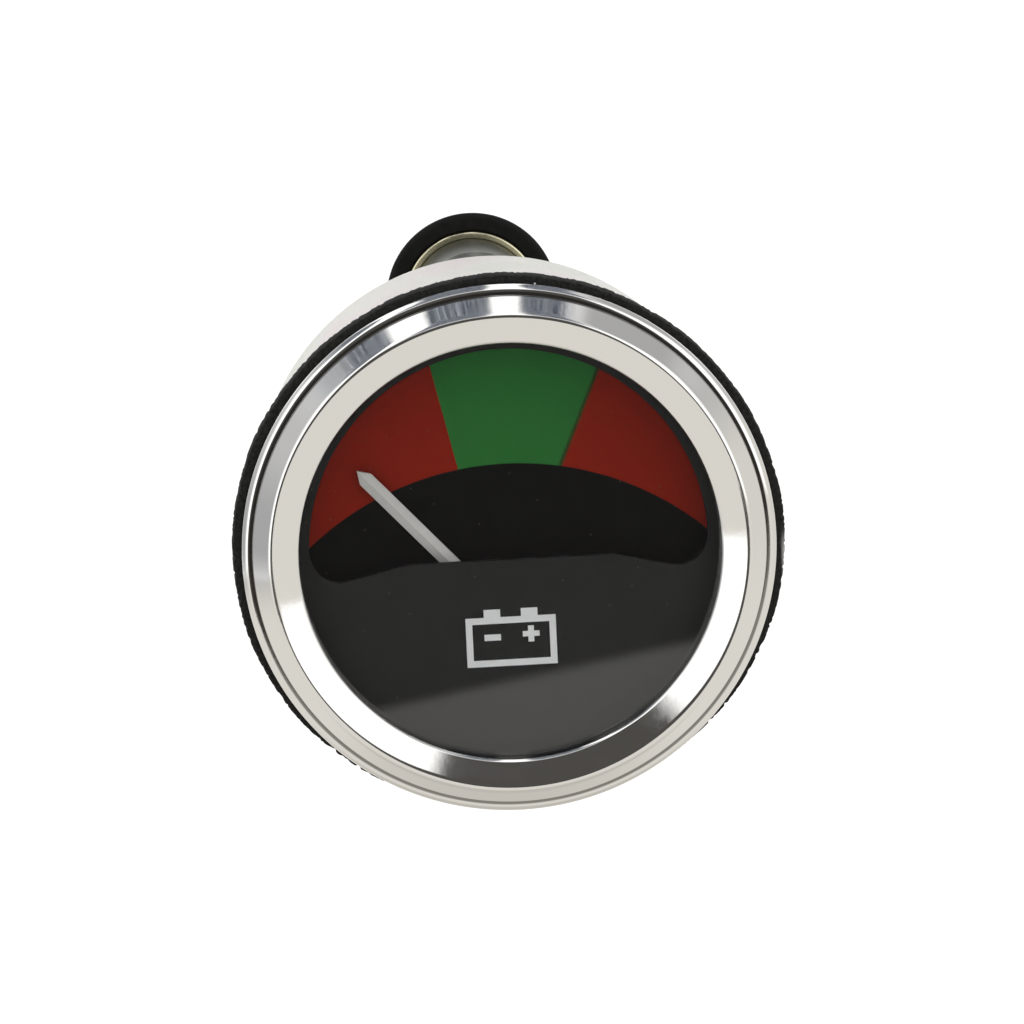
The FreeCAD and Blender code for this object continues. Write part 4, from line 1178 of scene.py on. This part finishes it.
@dataclass(frozen=True)
class Surroundings:
    """What the chrome and the lens mirror: table, walls, mottled ceiling and a dark card in front.

    Places are parts of a direction of length one: across to the right, back from the face, and up. Of two
    places, the share of what they start is 0 at the first and 1 at the second.
    """

    ambient: float = 1.1
    glare: float = 1.3
    table: Pair = ("#C6C2BB", "#E2DFD9")
    table_fade: Point = (-0.95, -0.7)
    horizon: Point = (-0.165, -0.135)
    horizon_slope: float = 0.1
    left_wall: Pair = ("#ACADAF", "#C4C4C4")
    left_fade: Point = (0.0, 0.35)
    right_wall: Pair = ("#DCDAD5", "#BCBCBC")
    right_fade: Point = (0.1, 0.5)
    walls_aside: Point = (0.6, 0.9)
    walls_up: Point = (-0.42, -0.12)
    left_to_right: Point = (-0.3, 0.3)
    ceiling_sides: Pair = ("#BDBFC2", "#AFAFB0")
    ceiling_up: Point = (0.44, 0.66)
    ceiling_lamp: Band = (-0.69, 0.39, 0.08, 0.08)
    mottle: Pair = ("#252C3C", "#CBD1DA")
    mottle_scale: float = 120.0
    mottle_detail: float = 5.0
    mottle_span: Point = (0.46, 0.64)
    patches: tuple[Band, ...] = (
        (-0.72, -0.479, 0.1, 0.02), (-0.304, -0.001, 0.02, 0.02), (0.137, 0.37, 0.02, 0.06))
    card: str = "#4E4C4A"
    card_shift: float = 0.05
    card_aside: Point = (0.33, 0.27)
    card_foot: Point = (-0.2121, -0.2099)
    card_slope: float = 0.166
    card_top: Point = (0.52, 0.44)
    card_back: Point = (0.1, -0.1)

    def walls(self, sky: Sky, bright: tuple) -> Socket:
        """Draw the table, the bright far wall and the grey side walls.

        Args:
            sky: The world's tree.
            bright: Colour of what glares.

        Returns:
            Their colour.
        """
        table = sky.blend(sky.ramp(sky.z, *self.table_fade), *self.table)
        colour = sky.blend(sky.ramp(sky.sloped(self.horizon_slope), *self.horizon), table, bright)
        left = sky.blend(sky.ramp(sky.z, *self.left_fade), *self.left_wall)
        right = sky.blend(sky.ramp(sky.z, *self.right_fade), *self.right_wall)
        side = sky.blend(sky.ramp(sky.x, *self.left_to_right), left, right)
        aside = sky.ramp(sky.maths("ABSOLUTE", sky.x), *self.walls_aside)
        return sky.blend(sky.product(aside, sky.ramp(sky.z, *self.walls_up)), colour, side)

    def ceiling(self, sky: Sky, bright: tuple) -> Socket:
        """Draw the ceiling: grey sides, a bright middle and mottled patches.

        Args:
            sky: The world's tree.
            bright: Colour of what glares.

        Returns:
            Its colour.
        """
        sides = sky.blend(sky.ramp(sky.x, *self.left_to_right), *self.ceiling_sides)
        colour = sky.blend(sky.band(*self.ceiling_lamp), sides, bright)
        grain = sky.add("ShaderNodeTexNoise", None, {
            "Vector": sky.way, "Scale": self.mottle_scale, "Detail": self.mottle_detail}).outputs[0]
        mottle = sky.blend(sky.ramp(grain, *self.mottle_span), *self.mottle)
        for patch in self.patches:
            colour = sky.blend(sky.band(*patch), colour, mottle)
        return colour

    def card_share(self, sky: Sky) -> Socket:
        """Draw the dark card in front, with a sharp leaning lower edge.

        Args:
            sky: The world's tree.

        Returns:
            Share of the card.
        """
        spread = sky.maths("ABSOLUTE", sky.maths("ADD", sky.x, self.card_shift))
        return sky.product(sky.ramp(spread, *self.card_aside),
                           sky.ramp(sky.sloped(self.card_slope), *self.card_foot),
                           sky.ramp(sky.z, *self.card_top), sky.ramp(sky.y, *self.card_back))

    def build(self) -> None:
        """White for the camera, plain light for the object and a studio for the mirrors."""
        sky = Sky()
        bright = (self.glare, self.glare, self.glare, 1.0)
        above = sky.ramp(sky.z, *self.ceiling_up)
        colour = sky.blend(above, self.walls(sky, bright), self.ceiling(sky, bright))
        colour = sky.blend(self.card_share(sky), colour, self.card)
        path = sky.add("ShaderNodeLightPath").outputs
        mirrored = sky.ramp(path["Glossy Depth"], 0.0, 1.0)
        plain = sky.blend(mirrored, (self.ambient, self.ambient, self.ambient, 1.0), colour)
        clear = sky.product(path["Is Transmission Ray"], sky.ramp(path["Glossy Depth"], 1.0, 0.0),
                            sky.ramp(path["Diffuse Depth"], 1.0, 0.0))
        seen = sky.maths("MAXIMUM", path["Is Camera Ray"], clear)
        light = sky.add("ShaderNodeBackground", None, {"Color": sky.blend(seen, plain, WHITE)})
        sky.add("ShaderNodeOutputWorld", None, {0: light.outputs[0]})


@dataclass
class Studio:
    """Camera, pale floor, soft light and the surroundings that the chrome mirrors."""

    surroundings: Surroundings = Surroundings()
    azimuth: float = -2.35
    elevation: float = 10.6
    roll: float = 2.7
    distance: float = 848.0
    focal_pixels: float = 8073.0
    aim: Corner = (0.0, -6.4, 0.0)
    offset_pixels: Point = (-0.82, 42.2)
    image_pixels: float = 1024.0
    sensor: float = 36.0
    clip: Point = (0.01, 50.0)
    floor_colour: str = "#E6E4E0"
    floor_roughness: float = 0.7
    floor_drop: float = 110.0
    floor_size: float = 6000.0
    floor_thickness: float = 10.0
    floor_glow: float = 1.25
    floor_glow_share: float = 0.7
    key_power: float = 1.1
    key_size: float = 0.4
    key_place: Corner = (230.0, -330.0, 430.0)

    def camera(self) -> None:
        """Set the camera where the photograph's was."""
        turn, lift, roll = (math.radians(a) for a in (self.azimuth, self.elevation, self.roll))
        back = Vector((math.sin(turn) * math.cos(lift), -math.cos(turn) * math.cos(lift), math.sin(lift)))
        level = (-back).cross(Vector((0, 0, 1))).normalized()
        upright = level.cross(-back)
        right = level * math.cos(roll) - upright * math.sin(roll)
        up = level * math.sin(roll) + upright * math.cos(roll)
        scale = self.distance / self.focal_pixels
        place = Vector(self.aim) + back * self.distance - right * self.offset_pixels[0] * scale
        place += up * self.offset_pixels[1] * scale
        lens = bpy.data.cameras.new("camera")
        lens.sensor_width = self.sensor
        lens.lens = self.focal_pixels / self.image_pixels * self.sensor
        lens.clip_start, lens.clip_end = self.clip
        camera = linked(bpy.data.objects.new("camera", lens))
        turn_matrix = Matrix((right, up, back)).transposed().to_4x4()
        camera.matrix_world = Matrix.Translation(place * MM) @ turn_matrix
        bpy.context.scene.camera = camera

    def floor(self) -> None:
        """Pale floor that is white for the camera where no shadow falls, and unseen in chrome and glass."""
        shader = Shader("pale_floor", Base_Color=linear(self.floor_colour), Roughness=self.floor_roughness)
        path = shader.add("ShaderNodeLightPath").outputs
        seen = shader.maths("MAXIMUM", path["Is Camera Ray"], path["Is Transmission Ray"])
        glow = shader.add("ShaderNodeEmission", None, {"Color": WHITE, "Strength": self.floor_glow})
        mixed = shader.add("ShaderNodeMixShader", None, {
            0: shader.maths("MULTIPLY", seen, self.floor_glow_share), 1: shader.bsdf.outputs[0],
            2: glow.outputs[0]})
        shader.tree.links.new(mixed.outputs[0], shader.tree.nodes["Material Output"].inputs["Surface"])
        half = self.floor_size / 2
        ground = block((-half, -half, -self.floor_drop - self.floor_thickness),
                       (half, half, -self.floor_drop), "floor")
        paint(ground, shader.material)
        ground.visible_glossy = False
        ground.visible_transmission = False

    def key_light(self) -> None:
        """One large soft lamp above and to the right, unseen in the chrome."""
        lamp = bpy.data.lights.new("soft_key", "AREA")
        lamp.size = self.key_size
        lamp.energy = self.key_power
        key = linked(bpy.data.objects.new("soft_key", lamp))
        key.location = Vector(self.key_place) * MM
        key.rotation_euler = (-key.location).to_track_quat("-Z", "Y").to_euler()
        key.visible_glossy = False

    def build(self) -> None:
        """Set the whole studio."""
        bpy.context.scene.view_settings.view_transform = "Standard"
        self.camera()
        self.surroundings.build()
        self.floor()
        self.key_light()


def main() -> None:
    """Build the studio and the gauge."""
    logging.basicConfig(level=logging.INFO, format="%(name)s: %(message)s")
    Studio().build()
    finishes = Finishes()
    dress_kept_nodes(finishes)
    for assembly in (Face, Housing, Clamp, LampHolder):
        assembly(finishes).build()


if __name__ == "__main__":
    main()
